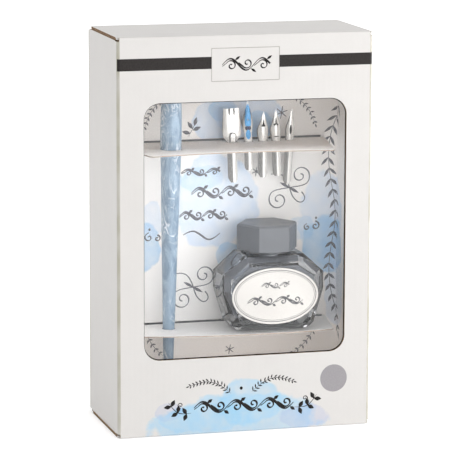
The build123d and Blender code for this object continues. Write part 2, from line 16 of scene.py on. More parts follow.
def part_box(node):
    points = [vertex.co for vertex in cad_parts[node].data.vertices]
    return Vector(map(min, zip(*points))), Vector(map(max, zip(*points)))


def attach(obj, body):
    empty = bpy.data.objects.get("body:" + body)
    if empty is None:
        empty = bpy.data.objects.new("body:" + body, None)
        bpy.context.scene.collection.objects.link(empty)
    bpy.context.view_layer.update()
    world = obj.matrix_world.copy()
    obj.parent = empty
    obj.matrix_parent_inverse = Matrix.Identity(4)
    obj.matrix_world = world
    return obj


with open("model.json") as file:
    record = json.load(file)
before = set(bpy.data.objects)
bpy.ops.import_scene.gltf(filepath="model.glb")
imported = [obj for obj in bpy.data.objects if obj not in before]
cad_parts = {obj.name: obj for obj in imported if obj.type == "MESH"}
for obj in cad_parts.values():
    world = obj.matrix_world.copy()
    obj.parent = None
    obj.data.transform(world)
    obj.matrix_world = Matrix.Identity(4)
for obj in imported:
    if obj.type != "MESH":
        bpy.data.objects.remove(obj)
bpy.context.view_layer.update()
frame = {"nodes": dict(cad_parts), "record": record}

# %% [markdown]
# ## Lengths
# All coordinates are metres, in the same frame as the model. Prints and finishes are easier to read in
# millimetres, so their lengths are written as a number times `mm`, or a whole list of them is scaled
# once by the function that draws it.

# %% Lengths taken from the model
mm = 0.001
carton_low, carton_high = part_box("carton_sleeve")
card_low, card_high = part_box("display_card")
bottle_low, bottle_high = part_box("bottle_glass")
label_low, label_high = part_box("bottle_label")
front_y = carton_low.y
half_x, half_y, height = carton_high.x, carton_high.y, carton_high.z
board = 1.2 * mm
fold_radius = 1.6 * mm  # outside of the sleeve's upright folds
bend_radius = 3.0 * mm  # outside of the bend between a lid and its tuck flap
card_thickness = 0.6 * mm
card_y = card_high.y - card_thickness  # the display card's front face
right_wing_x = card_high.x - card_thickness  # the inner face of its right wing
upper_shelf_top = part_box("upper_shelf")[0].z + card_thickness
lower_shelf_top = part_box("lower_shelf")[0].z + card_thickness
print("carton", [round(v / mm, 1) for v in (carton_high - carton_low)])
print("shelves at", round(upper_shelf_top / mm, 2), "and", round(lower_shelf_top / mm, 2))

# %% [markdown]
# ## Camera
# A long lens far away keeps the carton's upright edges nearly parallel. The camera stands a little to
# the left and above, so it sees the front, a strip of the left side and of the lid.

# %% Camera
image_side = 460
focal_pixels = 2962
camera_place = Vector((-0.4039, -1.4616, 0.3633))
camera_target = Vector((0.0006, 0.0, 0.0997))
camera_roll = 0.18  # degrees
camera_data = bpy.data.cameras.new("camera")
camera_data.sensor_width = 36.0
camera_data.lens = camera_data.sensor_width * focal_pixels / image_side
camera_data.clip_start = 0.05
camera_data.clip_end = 20.0
camera = bpy.data.objects.new("camera", camera_data)
bpy.context.scene.collection.objects.link(camera)


def facing(place, target):
    """The matrix of a camera or lamp that stands at place and looks at target."""
    return Matrix.Translation(place) @ (target - place).to_track_quat("-Z", "Y").to_matrix().to_4x4()


rolled_camera = Matrix.Rotation(math.radians(camera_roll), 4, "Z")
camera.matrix_world = facing(camera_place, camera_target) @ rolled_camera
bpy.context.scene.camera = camera
bpy.context.scene.view_settings.view_transform = "Standard"
print("lens", round(camera_data.lens, 1), "mm")

# %% [markdown]
# ## Small tools for node trees
# A finish is a sum of small steps: where is this point, how far is it from an edge, how much noise is
# there. Each tool below adds one node and hands back its output, so that a finish reads like a formula.

# %% Tools for node trees
def new_material(name):
    """A material with its Principled shader, ready to be given values and links."""
    material = bpy.data.materials.new(name)
    material.use_nodes = True
    return material, material.node_tree, material.node_tree.nodes["Principled BSDF"]


def feed(tree, socket, value):
    """Gives a socket a value, or links it to another node's output."""
    if isinstance(value, bpy.types.NodeSocket):
        tree.links.new(value, socket)
    else:
        socket.default_value = value


def calculate(tree, operation, *values, clamp=False):
    """One step of arithmetic on numbers."""
    node = tree.nodes.new("ShaderNodeMath")
    node.operation = operation
    node.use_clamp = clamp
    for socket, value in zip(node.inputs, values):
        feed(tree, socket, value)
    return node.outputs[0]


def move(tree, operation, *values):
    """One step of arithmetic on places; a length or a dot product comes out as a number."""
    node = tree.nodes.new("ShaderNodeVectorMath")
    node.operation = operation
    for socket, value in zip(node.inputs, values):
        feed(tree, socket, value)
    return node.outputs["Value" if operation in ("LENGTH", "DOT_PRODUCT") else "Vector"]


def spread(tree, value, low, high, to_low=0.0, to_high=1.0):
    """Stretches low..high to to_low..to_high and stops there at both ends."""
    node = tree.nodes.new("ShaderNodeMapRange")
    for name, number in zip(("Value", "From Min", "From Max", "To Min", "To Max"),
                            (value, low, high, to_low, to_high)):
        feed(tree, node.inputs[name], number)
    return node.outputs["Result"]


def blend_colours(tree, share, first, second, way="MIX"):
    """Mixes two colours; share 0 is the first, share 1 the second."""
    node = tree.nodes.new("ShaderNodeMix")
    node.data_type = "RGBA"
    node.blend_type = way
    feed(tree, node.inputs[0], share)
    feed(tree, node.inputs[6], first)
    feed(tree, node.inputs[7], second)
    return node.outputs[2]


def grainy(tree, place, size, detail=2.0, stretch=None, warp=0.0):
    """Noise from 0 to 1, with patches of about this size in metres. stretch squeezes it along an axis."""
    if stretch is not None:
        place = move(tree, "MULTIPLY", place, stretch)
    node = tree.nodes.new("ShaderNodeTexNoise")
    feed(tree, node.inputs["Vector"], place)
    node.inputs["Scale"].default_value = 1.0 / size
    node.inputs["Detail"].default_value = detail
    node.inputs["Distortion"].default_value = warp
    return node.outputs["Fac"]


def here(tree):
    """The point's place on the piece: the same as in the model, because every piece sits at the origin."""
    return tree.nodes.new("ShaderNodeTexCoord").outputs["Object"]


def parts_of(tree, place):
    """x, y and z of a place."""
    node = tree.nodes.new("ShaderNodeSeparateXYZ")
    tree.links.new(place, node.inputs[0])
    return node.outputs


def raised(tree, shader, height, distance, strength=1.0):
    """Feeds a height to the shader's normal: 1 stands this distance above 0."""
    node = tree.nodes.new("ShaderNodeBump")
    node.inputs["Strength"].default_value = strength
    node.inputs["Distance"].default_value = distance
    tree.links.new(height, node.inputs["Height"])
    tree.links.new(node.outputs["Normal"], shader.inputs["Normal"])


def colour(red, green, blue):
    """A linear colour from the 0 to 255 numbers of a colour picker."""
    def linear(value):
        value /= 255
        return value / 12.92 if value <= 0.04045 else ((value + 0.055) / 1.055) ** 2.4
    return (linear(red), linear(green), linear(blue), 1.0)


# %% [markdown]
# ## White tent
# The carton stands in a white tent, as small goods do in a studio. One white world could be both the
# background and the light, but at full white it would wash out the box. So the world asks which ray
# looks at it: the eye, and what steel and glass mirror, see white, and the soft light stays gentle.

# %% White tent
white_seen = 1.0
light_at_horizon = 0.18
light_at_zenith = 0.4


def rays_that_see(tree):
    """1 for what the camera sees, directly, in a mirror or through glass; 0 for soft light."""
    path = tree.nodes.new("ShaderNodeLightPath")
    direct = calculate(tree, "MAXIMUM", path.outputs["Is Camera Ray"], path.outputs["Is Glossy Ray"])
    return calculate(tree, "MAXIMUM", direct, path.outputs["Is Transmission Ray"])


world = bpy.data.worlds.new("tent")
bpy.context.scene.world = world
world.use_nodes = True
tent = world.node_tree
upwards = parts_of(tent, tent.nodes.new("ShaderNodeTexCoord").outputs["Generated"])["Z"]
soft_light = spread(tent, upwards, 0.0, 1.0, light_at_horizon, light_at_zenith)
missing = calculate(tent, "SUBTRACT", white_seen, soft_light)
strength = calculate(tent, "MULTIPLY_ADD", rays_that_see(tent), missing, soft_light)
tent.nodes["Background"].inputs["Color"].default_value = (1.0, 1.0, 1.0, 1.0)
tent.links.new(strength, tent.nodes["Background"].inputs["Strength"])
print("tent: light", light_at_horizon, "to", light_at_zenith, "seen as", white_seen)

# %% [markdown]
# ## Lamps
# A big soft lamp stands a little to the right of the camera. Three more, far to the right, far to the
# left and above, light the front, the side and the lid and hardly shine into the window. Wide lamps
# are used because small ones draw hard shadows of the shelves on the card.

# %% Lamps
lit_point = Vector((0.0, 0.0, 0.1))  # all the big lamps look here


def lamp(name, azimuth, elevation, distance, size, watts):
    """A soft lamp that looks at the carton. Azimuth 0 is in front, 90 to the right."""
    data = bpy.data.lights.new(name, "AREA")
    data.shape = "RECTANGLE"
    data.size, data.size_y = size
    data.energy = watts
    placed = bpy.data.objects.new(name, data)
    turn, tilt = math.radians(azimuth), math.radians(elevation)
    away = Vector((math.sin(turn) * math.cos(tilt), -math.cos(turn) * math.cos(tilt), math.sin(tilt)))
    placed.matrix_world = facing(lit_point + away * distance, lit_point)
    bpy.context.scene.collection.objects.link(placed)
    print(name, "at", [round(v, 2) for v in placed.location])


lamp("low_key", azimuth=12, elevation=7, distance=1.5, size=(1.7, 0.75), watts=10.0)
lamp("right_fill", azimuth=62, elevation=10, distance=1.2, size=(1.0, 1.0), watts=12.0)
lamp("side_fill", azimuth=-96, elevation=8, distance=1.2, size=(1.0, 1.0), watts=5.5)
lamp("top_fill", azimuth=180, elevation=80, distance=1.2, size=(1.0, 1.0), watts=4.5)

# %% [markdown]
# ## Light behind the window
# Little of the room's light gets deep into a box 64 mm deep. Stronger lamps outside would bleach the
# front panel, so small unseen ones fill the window just behind the film and look in, as a bright room
# would. They are rectangles, because the window is one, and the weaker ones lift its darker parts.

# %% Lamps behind the window
film_low, film_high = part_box("window_film")
window_lamp_y = film_high.y + 0.25 * mm


def window_lamp(name, low_x, high_x, low_z, high_z, watts):
    """An unseen soft lamp that fills a part of the window, in millimetres, and looks straight in."""
    data = bpy.data.lights.new(name, "AREA")
    data.shape = "RECTANGLE"
    data.size, data.size_y = (high_x - low_x) * mm, (high_z - low_z) * mm
    data.energy = watts
    placed = bpy.data.objects.new(name, data)
    middle = Vector(((low_x + high_x) / 2 * mm, window_lamp_y, (low_z + high_z) / 2 * mm))
    placed.matrix_world = facing(middle, middle + Vector((0, 1, 0)))
    placed.visible_camera = False
    placed.visible_glossy = False
    placed.visible_transmission = False
    bpy.context.scene.collection.objects.link(placed)
    print(name, "fills", high_x - low_x, "by", high_z - low_z, "mm of the window")


window_lamp("window_light", -53, 53, 66, 171, watts=0.021)
window_lamp("window_top", -53, 53, 148, 171, watts=0.008)
window_lamp("window_right", 26, 53, 60, 171, watts=0.023)
window_lamp("window_foot", -53, 53, 36, 46, watts=0.010)

# %% [markdown]
# ## Dark flag
# Bright steel is only as lively as what it mirrors. As in a studio, a black card stands to the left of
# the camera, out of view: the steel mirrors it as a dark flank beside the bright front. Nothing but a
# mirror sees it, so it takes no light from the board and throws no shadow.

# %% Dark flag
flag_half_wide, flag_half_high = 0.24, 0.2
flag_azimuth, flag_distance, flag_height = math.radians(-34), 0.46, 0.2


def flat_panel(half_wide, half_high):
    """A bmesh of one rectangle, lying flat round the origin."""
    shape = bmesh.new()
    bmesh.ops.create_grid(shape, x_segments=1, y_segments=1, size=1.0)
    bmesh.ops.scale(shape, verts=shape.verts[:], vec=(half_wide, half_high, 1.0))
    return shape


def studio_sheet(name, half_wide, half_high, paint):
    """A flat sheet that belongs to the studio and not to the object."""
    shape = flat_panel(half_wide, half_high)
    mesh = bpy.data.meshes.new(name)
    shape.to_mesh(mesh)
    shape.free()
    mesh.materials.append(paint)
    sheet = bpy.data.objects.new(name, mesh)
    bpy.context.scene.collection.objects.link(sheet)
    return sheet


flag_paint, tree, shader = new_material("flag_paint")
shader.inputs["Base Color"].default_value = (0.03, 0.03, 0.03, 1)
flag = studio_sheet("flag", flag_half_wide, flag_half_high, flag_paint)
flag_place = flag_distance * Vector((math.sin(flag_azimuth), -math.cos(flag_azimuth), 0.0))
flag_place.z = flag_height
flag.matrix_world = facing(flag_place, Vector((0, 0, flag_height)))
flag.visible_camera = False
flag.visible_diffuse = False
flag.visible_shadow = False
flag.visible_transmission = False
print("flag at", [round(v, 2) for v in flag_place])

# %% [markdown]
# ## Floor
# The floor is a white sheet that must fade into the white background and still keep the carton's soft
# shadow. A plain white surface would look grey where it runs away from the lamps. So it glows a little
# to the rays that see it, more the farther it lies from the carton.

# %% Floor
floor_half = 3.0
floor_drop = 0.2 * mm  # it lies this far under the carton
glow_from, glow_to = 0.15, 0.8  # the floor looks whiter between these distances from its middle
near_glow, far_glow = 0.45, 1.0
floor_paint, tree, shader = new_material("floor_paint")
shader.inputs["Base Color"].default_value = (0.9, 0.9, 0.9, 1)
shader.inputs["Roughness"].default_value = 0.9
shader.inputs["Emission Color"].default_value = (1, 1, 1, 1)
away = move(tree, "LENGTH", here(tree))
glow = spread(tree, away, glow_from, glow_to, near_glow, far_glow)
tree.links.new(calculate(tree, "MULTIPLY", rays_that_see(tree), glow), shader.inputs["Emission Strength"])
floor = studio_sheet("floor", floor_half, floor_half, floor_paint)
floor.location.z = carton_low.z - floor_drop
print("floor", 2 * floor_half, "m wide")

# %% [markdown]
# ## Effects that several finishes share
# Each is a node group, built once, with its values on the outside: paper grain, a patch of watercolour,
# the depth under the printed face of a board, fine scratches, and a limit between two heights. The same
# nodes could be laid in every material, but then a change to the grain would have to be made in each.

# %% Tools for node groups
def new_group(name, takes, gives):
    """An empty group with named sockets; a tuple for a default makes a vector socket."""
    group = bpy.data.node_groups.new(name, "ShaderNodeTree")
    for socket_name, default in takes.items():
        kind = "NodeSocketVector" if isinstance(default, tuple) else "NodeSocketFloat"
        group.interface.new_socket(socket_name, in_out="INPUT", socket_type=kind).default_value = default
    for socket_name in gives:
        group.interface.new_socket(socket_name, in_out="OUTPUT", socket_type="NodeSocketFloat")
    return group, group.nodes.new("NodeGroupInput").outputs, group.nodes.new("NodeGroupOutput").inputs


def use(tree, group, **values):
    """Places a group in a tree. Names use _ for a space."""
    node = tree.nodes.new("ShaderNodeGroup")
    node.node_tree = group
    for name, value in values.items():
        feed(tree, node.inputs[name.replace("_", " ")], value)
    return node.outputs


# %% [markdown]
# ## Paper grain
# Coated board and card are not quite even: fibres show as a fine mottle and larger clouds shade the
# sheet by one or two parts in a hundred. Two sizes of noise give both. The finer one is also the relief.

# %% Paper grain
fibre_size, cloud_size = 0.35 * mm, 9 * mm
paper_grain, taken, given = new_group("paper_grain", {"Place": (0.0, 0.0, 0.0)}, ("Shade", "Height"))
fibres = grainy(paper_grain, taken["Place"], fibre_size, detail=3.0)
clouds = grainy(paper_grain, taken["Place"], cloud_size, detail=2.0)
fibre_shade = spread(paper_grain, fibres, 0.3, 0.7, -0.012, 0.012)
cloud_shade = spread(paper_grain, clouds, 0.3, 0.7, 0.982, 1.0)
paper_grain.links.new(calculate(paper_grain, "ADD", fibre_shade, cloud_shade), given["Shade"])
paper_grain.links.new(fibres, given["Height"])
print("paper_grain nodes:", len(paper_grain.nodes))

# %% [markdown]
# ## Watercolour patch
# A wash pools where the brush stayed, dries with a darker line at its rim and has a torn outline. An
# oval gives its place and size. Noise is added to the distance from its middle, which tears the
# outline, and that same distance says where the rim lies, so the two always agree.

# %% Watercolour patch
tear_size, pool_size = 11 * mm, 7 * mm
watercolour, taken, given = new_group(
    "watercolour",
    {"Place": (0.0, 0.0, 0.0), "Centre": (0.0, 0.0, 0.0), "Size": (1.0, 1.0, 1.0), "Ragged": 0.5},
    ("Mask",),
)
offset = move(watercolour, "SUBTRACT", taken["Place"], taken["Centre"])
rounds = move(watercolour, "LENGTH", move(watercolour, "DIVIDE", offset, taken["Size"]))
torn = calculate(watercolour, "SUBTRACT", grainy(watercolour, taken["Place"], tear_size, detail=5.0), 0.5)
reach = calculate(watercolour, "MULTIPLY_ADD", torn, taken["Ragged"], rounds)
body_of_wash = spread(watercolour, reach, 0.9, 1.0, 1.0, 0.0)
tide_line = spread(watercolour, reach, 0.7, 0.95, 0.8, 1.0)
pools = grainy(watercolour, taken["Place"], pool_size, detail=4.0)
pooled = spread(watercolour, pools, 0.3, 0.7, 0.55, 1.0)
toned = calculate(watercolour, "MULTIPLY", tide_line, pooled)
watercolour.links.new(calculate(watercolour, "MULTIPLY", body_of_wash, toned), given["Mask"])
print("watercolour nodes:", len(watercolour.nodes))

# %% [markdown]
# ## Depth under the outer face
# The board's outer face is that of a block with rounded edges. How deep a point lies under it tells
# white sheet from kraft, so one number serves for faces, cut edges and insides. The depth is measured
# only as far in as the rounding goes, which is always more than the board's thickness. `Fold` is 1 on
# an upright fold and 0 away from it.

# %% Depth under the outer face of a folded block
block_depth, taken, given = new_group(
    "block_depth",
    {"Place": (0.0, 0.0, 0.0), "Centre": (0.0, 0.0, 0.0), "Half Size": (1.0, 1.0, 1.0), "Round": 0.001},
    ("Depth", "Fold"),
)
offset = move(block_depth, "ABSOLUTE", move(block_depth, "SUBTRACT", taken["Place"], taken["Centre"]))
rounding = move(block_depth, "SCALE", (1.0, 1.0, 1.0))
block_depth.links.new(taken["Round"], rounding.node.inputs["Scale"])
straight = move(block_depth, "SUBTRACT", taken["Half Size"], rounding)
past = move(block_depth, "MAXIMUM", move(block_depth, "SUBTRACT", offset, straight), (0.0, 0.0, 0.0))
depth = calculate(block_depth, "SUBTRACT", taken["Round"], move(block_depth, "LENGTH", past))
sides = parts_of(block_depth, past)
corner = calculate(block_depth, "MINIMUM", sides["X"], sides["Y"])
block_depth.links.new(depth, given["Depth"])
block_depth.links.new(calculate(block_depth, "DIVIDE", corner, taken["Round"]), given["Fold"])
print("block_depth nodes:", len(block_depth.nodes))

# %% [markdown]
# ## Fine scratches and a limit
# Handled steel carries hair scratches along its length: fine noise, squeezed by `Along`, and stronger in
# the patches where the piece was rubbed. The limit is 1 between two values and fades over `Soft` at both
# ends. It paints the raw edge of a sheet, where a hard step would flicker.

# %% Fine scratches
hair_size, rubbed_size = 0.12 * mm, 3 * mm
scratches, taken, given = new_group(
    "scratches", {"Place": (0.0, 0.0, 0.0), "Along": (1.0, 1.0, 0.06)}, ("Mask", "Height"))
squeezed = move(scratches, "MULTIPLY", taken["Place"], taken["Along"])
hairs = grainy(scratches, squeezed, hair_size, detail=3.0)
wear = grainy(scratches, taken["Place"], rubbed_size)
scratched = calculate(scratches, "MULTIPLY", spread(scratches, hairs, 0.45, 0.75), wear)
scratches.links.new(scratched, given["Mask"])
scratches.links.new(hairs, given["Height"])
print("scratches nodes:", len(scratches.nodes))

# %% Between two values
between, taken, given = new_group(
    "between", {"Value": 0.0, "Low": 0.0, "High": 1.0, "Soft": 0.00002}, ("Mask",))
past_low = calculate(between, "SUBTRACT", taken["Value"], taken["Low"])
short_of_high = calculate(between, "SUBTRACT", taken["High"], taken["Value"])
above = calculate(between, "DIVIDE", past_low, taken["Soft"], clamp=True)
below = calculate(between, "DIVIDE", short_of_high, taken["Soft"], clamp=True)
between.links.new(calculate(between, "MULTIPLY", above, below), given["Mask"])
print("groups:", len(bpy.data.node_groups))

# %% [markdown]
# ## Micro-fluted board
# The carton is thin fluted board: a white coated sheet outside, brown kraft inside, and between them a waved
# sheet whose curls show wherever the board is cut. Each layer could be a solid of its own, but they are a
# tenth of a millimetre thin. So the colour comes from how deep a point lies under the outer face: first
# white, then kraft, and in the middle the wave stands in its own shadow. At the upright folds the crease's
# shade is painted as a patchy grey line.

# %% Board colours and layers
coat_white = colour(220, 217, 214)
kraft = colour(176, 143, 106)
kraft_shade = colour(96, 72, 50)
crease_shade_grey = colour(186, 182, 166)
blue_wash = colour(146, 202, 234)
lilac_wash = colour(158, 170, 214)
flute_pitch = 3.0 * mm
sheet = 0.1 * mm  # thickness of the white sheet
liner = 0.14 * mm  # and of the white or kraft sheet on each side of the flutes
flute_swing = 0.36 * mm
far = 10.0  # a half size that never ends


def shaded(tree, paint, shade):
    """A colour, darker or lighter by a number."""
    grey = tree.nodes.new("ShaderNodeCombineColor")
    for channel in grey.inputs:
        tree.links.new(shade, channel)
    return blend_colours(tree, 1.0, paint, grey.outputs[0], "MULTIPLY")


def flute_wave(tree, place):
    """The waved sheet: it runs along x in the front and back panels and along y in the side panels."""
    x, y, z = parts_of(tree, place)
    along = calculate(tree, "ADD", x, y)
    return calculate(tree, "SINE", calculate(tree, "MULTIPLY", along, 2 * math.pi / flute_pitch))


def white_or_kraft(tree, wave, depth, printed_colour):
    """Printed colour on the outer face, kraft and its flutes on cut edges and inside."""
    middle = calculate(tree, "MULTIPLY_ADD", wave, flute_swing, board / 2)
    from_wave = calculate(tree, "ABSOLUTE", calculate(tree, "SUBTRACT", depth, middle))
    between_liners = use(tree, between, Value=depth, Low=liner, High=board - liner)["Mask"]
    hollow = calculate(tree, "MULTIPLY", spread(tree, from_wave, 0.09 * mm, 0.13 * mm), between_liners)
    cut = blend_colours(tree, hollow, kraft, kraft_shade)
    inside = spread(tree, depth, sheet - 0.03 * mm, sheet + 0.01 * mm)
    return blend_colours(tree, inside, printed_colour, cut)


def over_creases(tree, place):
    """1 at the front panel's ends, where the white sheet runs on over the creases to the lids."""
    x, y, z = parts_of(tree, place)
    from_middle = calculate(tree, "ABSOLUTE", calculate(tree, "SUBTRACT", z, height / 2))
    at_end = spread(tree, from_middle, height / 2 - 0.5 * mm, height / 2 - 0.4 * mm)
    in_front = spread(tree, y, front_y + board, front_y + board + 0.1 * mm, 1.0, 0.0)
    return calculate(tree, "MULTIPLY", at_end, in_front)


def front_wash(tree, place, paper):
    """A watercolour pool across the foot of the front panel, blue with two lilac blots at its ends."""
    across_board = parts_of(tree, place)["Y"]
    on_front = use(tree, between, Value=across_board, Low=front_y - mm, High=front_y + 0.5 * mm)["Mask"]
    paint = paper
    for x, z, wide, high, ragged, strength, tint in (
        (-4, 4, 46, 17, 0.75, 0.75, blue_wash),
        (2, 15, 17, 13, 0.7, 0.7, blue_wash),
        (-40, 13, 8, 5, 1.1, 0.4, lilac_wash),
        (32, 6, 13, 7, 1.0, 0.4, lilac_wash),
        (-22, 8, 22, 8, 1.0, 0.55, blue_wash),
    ):
        patch = use(tree, watercolour, Place=place, Centre=(x * mm, front_y, z * mm),
                    Size=(wide * mm, far, high * mm), Ragged=ragged)["Mask"]
        patch = calculate(tree, "MULTIPLY", calculate(tree, "MULTIPLY", patch, strength), on_front)
        paint = blend_colours(tree, patch, paint, tint)
    return paint


def board_finish(name, centre, half_size, rounding, turn=0.0, front_print=False):
    """The carton's board for one piece, whose printed face is the outside of the given block."""
    material, tree, shader = new_material(name)
    place = here(tree)
    turned = tree.nodes.new("ShaderNodeMapping")
    turned.inputs["Rotation"].default_value = (turn, 0.0, 0.0)
    tree.links.new(place, turned.inputs["Vector"])
    block = use(tree, block_depth, Place=turned.outputs[0], Centre=centre,
                Half_Size=half_size, Round=rounding)
    grain = use(tree, paper_grain, Place=place)
    paint = coat_white
    if front_print:
        paint = front_wash(tree, place, paint)
        # painted shade of the creases: a patchy grey line along the upright folds
        patchy = spread(tree, grainy(tree, place, 14 * mm), 0.3, 0.6, 0.45, 0.95)
        crease_shade = calculate(tree, "MULTIPLY", spread(tree, block["Fold"], 0.03, 0.16), patchy)
        paint = blend_colours(tree, crease_shade, paint, crease_shade_grey)
    wave = flute_wave(tree, place)
    bare = paint
    paint = white_or_kraft(tree, wave, block["Depth"], paint)
    if front_print:
        paint = blend_colours(tree, over_creases(tree, place), paint, bare)
    tree.links.new(shaded(tree, paint, grain["Shade"]), shader.inputs["Base Color"])
    coated = spread(tree, block["Depth"], 0.05 * mm, 0.12 * mm, 0.42, 0.85)
    tree.links.new(calculate(tree, "MULTIPLY_ADD", grain["Height"], 0.08, coated), shader.inputs["Roughness"])
    raised(tree, shader, calculate(tree, "MULTIPLY_ADD", wave, 0.35, grain["Height"]), 0.012 * mm)
    return material


# %% [markdown]
# ## Which block each piece of board is cut from
# The sleeve is the outside of the whole carton. A lid is the top of a block that never ends to the sides, a
# dust flap a deeper one, and a tuck flap the back of a block that leans as the flap does. The front panel
# alone carries a print and the painted shade of its folds.

# %% Finish the sleeve, lids and flaps
lid_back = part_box("top_lid")[1].y
dust_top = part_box("top_dust_flap_left")[1].z
tuck_lean = math.radians(18.0)
half_block = 0.1


def highest_along(node, direction):
    """How far a node reaches in a direction."""
    return max(vertex.co.dot(direction) for vertex in frame["nodes"][node].data.vertices)


floor_middle = (0.0, 0.0, 0.0)
lid_middle = (0.0, 0.0, height)
lid_block = (far, lid_back, height)
finishes_by_node = {
    "carton_sleeve": board_finish("carton_board", floor_middle, (half_x, half_y, far), fold_radius,
                                  front_print=True),
    "top_lid": board_finish("top_lid_board", floor_middle, lid_block, bend_radius),
    "bottom_lid": board_finish("bottom_lid_board", lid_middle, lid_block, bend_radius),
}
for end, middle in (("top", floor_middle), ("bottom", lid_middle)):
    dust_board = board_finish(end + "_dust_board", middle, (far, far, dust_top), bend_radius)
    for side in ("left", "right"):
        finishes_by_node[f"{end}_dust_flap_{side}"] = dust_board
for end, lean in (("top", tuck_lean), ("bottom", -tuck_lean)):
    outwards = Vector((0.0, math.cos(lean), -math.sin(lean)))
    reach = highest_along(end + "_tuck_flap", outwards)
    tuck_board = board_finish(end + "_tuck_board", (0.0, reach - half_block, 0.0),
                              (far, half_block, far), bend_radius, turn=lean)
    finishes_by_node[end + "_tuck_flap"] = tuck_board
print("board finishes:", len(set(finishes_by_node.values())))

# %% [markdown]
# ## Card
# The insert is thin white card on a grey-brown core. The display card is printed with loose watercolour
# patches in two blues. They could be painted on each face by itself, but then a patch would stop at a
# fold. So they are laid out on the card as it was printed, flat: at the wings the place is unfolded
# first, and a patch runs on round the fold without a break.

# %% Card finishes
edge_soft = 0.01 * mm
card_white = colour(249, 247, 245)
card_core = colour(148, 131, 116)
pale_blue = colour(190, 218, 250)
deep_blue = colour(140, 198, 240)


def grained(tree, shader, paint, place, roughness):
    """Paper grain over a colour, in its shade, its gloss and its relief."""
    grain = use(tree, paper_grain, Place=place)
    tree.links.new(shaded(tree, paint, grain["Shade"]), shader.inputs["Base Color"])
    dull = calculate(tree, "MULTIPLY_ADD", grain["Height"], 0.1, roughness)
    tree.links.new(dull, shader.inputs["Roughness"])
    raised(tree, shader, grain["Height"], 0.01 * mm)


def unfolded(tree, place):
    """Where a point of the display card lay on the flat sheet, before its wings were folded."""
    x, y, z = parts_of(tree, place)
    forward = calculate(tree, "MAXIMUM", calculate(tree, "SUBTRACT", card_y, y), 0.0)
    across = calculate(tree, "MULTIPLY_ADD", calculate(tree, "SIGN", x), forward, x)
    flat = tree.nodes.new("ShaderNodeCombineXYZ")
    tree.links.new(across, flat.inputs["X"])
    tree.links.new(z, flat.inputs["Z"])
    return flat.outputs[0]


def card_finish(name, raw_edges, patches=()):
    """White card with its core showing in raw_edges, given as (axis, low, high), and washes on its face."""
    material, tree, shader = new_material(name)
    place = here(tree)
    axes = parts_of(tree, place)
    paint = card_white
    flat = unfolded(tree, place)
    for x, z, wide, high, ragged, strength, tint in patches:
        patch = use(tree, watercolour, Place=flat, Centre=(x * mm, 0.0, z * mm),
                    Size=(wide * mm, far, high * mm), Ragged=ragged)["Mask"]
        paint = blend_colours(tree, calculate(tree, "MULTIPLY", patch, strength), paint, tint)
    for axis, low, high in raw_edges:
        edge = use(tree, between, Value=axes[axis], Low=low, High=high, Soft=edge_soft)["Mask"]
        paint = blend_colours(tree, edge, paint, card_core)
    grained(tree, shader, paint, place, 0.5)
    return material


def edge_of_sheet(top):
    """The heights between which a level sheet's cut edge shows its core."""
    return ("Z", top - card_thickness + 0.03 * mm, top - 0.03 * mm)


finishes_by_node["upper_shelf"] = card_finish("upper_shelf_card", [edge_of_sheet(upper_shelf_top)])
finishes_by_node["lower_shelf"] = card_finish("lower_shelf_card", [edge_of_sheet(lower_shelf_top)])
skin = 0.02 * mm
upright_edges = [("Z", card_high.z - skin, far), ("Z", -far, card_low.z + skin),
                 ("Y", -far, card_low.y + skin)]
finishes_by_node["backing_card"] = card_finish("backing_board", upright_edges)
# x and z of the middle on the flat card, half width, half height, raggedness, strength and colour
display_patches = (
    (-3, 155, 12, 12, 0.9, 0.7, pale_blue),
    (1, 160, 8, 6, 1.2, 0.55, deep_blue),
    (15, 157, 19, 13, 0.9, 0.75, pale_blue),
    (21, 152, 8, 9, 1.2, 0.6, deep_blue),
    (-2, 112, 24, 27, 0.8, 0.7, pale_blue),
    (-10, 124, 12, 7, 1.2, 0.35, deep_blue),
    (6, 83, 8, 7, 1.1, 0.6, deep_blue),
    (-40, 88, 9, 13, 1.0, 0.75, deep_blue),
    (-37, 103, 8, 10, 1.1, 0.5, pale_blue),
    (58, 100, 15, 26, 0.8, 0.6, pale_blue),
    (60, 86, 14, 16, 1.0, 0.8, deep_blue),
    (45, 96, 8, 7, 1.2, 0.35, deep_blue),
    (66, 60, 9, 20, 1.0, 0.45, pale_blue),
)
finishes_by_node["display_card"] = card_finish("display_print", upright_edges, display_patches)
print("card finishes made")

# %% [markdown]
# ## Steel
# The nibs, their clip and the pen's ferrule are polished steel that has been handled. A smooth mirror
# would look like chrome, so the scratches darken it a little and break up its gloss. They run along the
# nibs and round the ferrule.

# %% Steel finishes
def steel_finish(name, tone, roughness, along):
    """Polished steel: its gloss breaks up a little in hair scratches."""
    material, tree, shader = new_material(name)
    place = here(tree)
    hair = use(tree, scratches, Place=place, Along=along)
    dull = tuple(channel * 0.82 for channel in tone[:3]) + (1.0,)
    tree.links.new(blend_colours(tree, hair["Mask"], tone, dull), shader.inputs["Base Color"])
    tree.links.new(calculate(tree, "MULTIPLY_ADD", hair["Mask"], 0.16, roughness), shader.inputs["Roughness"])
    shader.inputs["Metallic"].default_value = 1.0
    raised(tree, shader, hair["Height"], 0.002 * mm)
    return material, tree, shader, place


steel_tone = colour(236, 235, 233)
plated_steel = steel_finish("plated_steel", colour(228, 226, 222), 0.16, (0.1, 0.1, 1.0))[0]
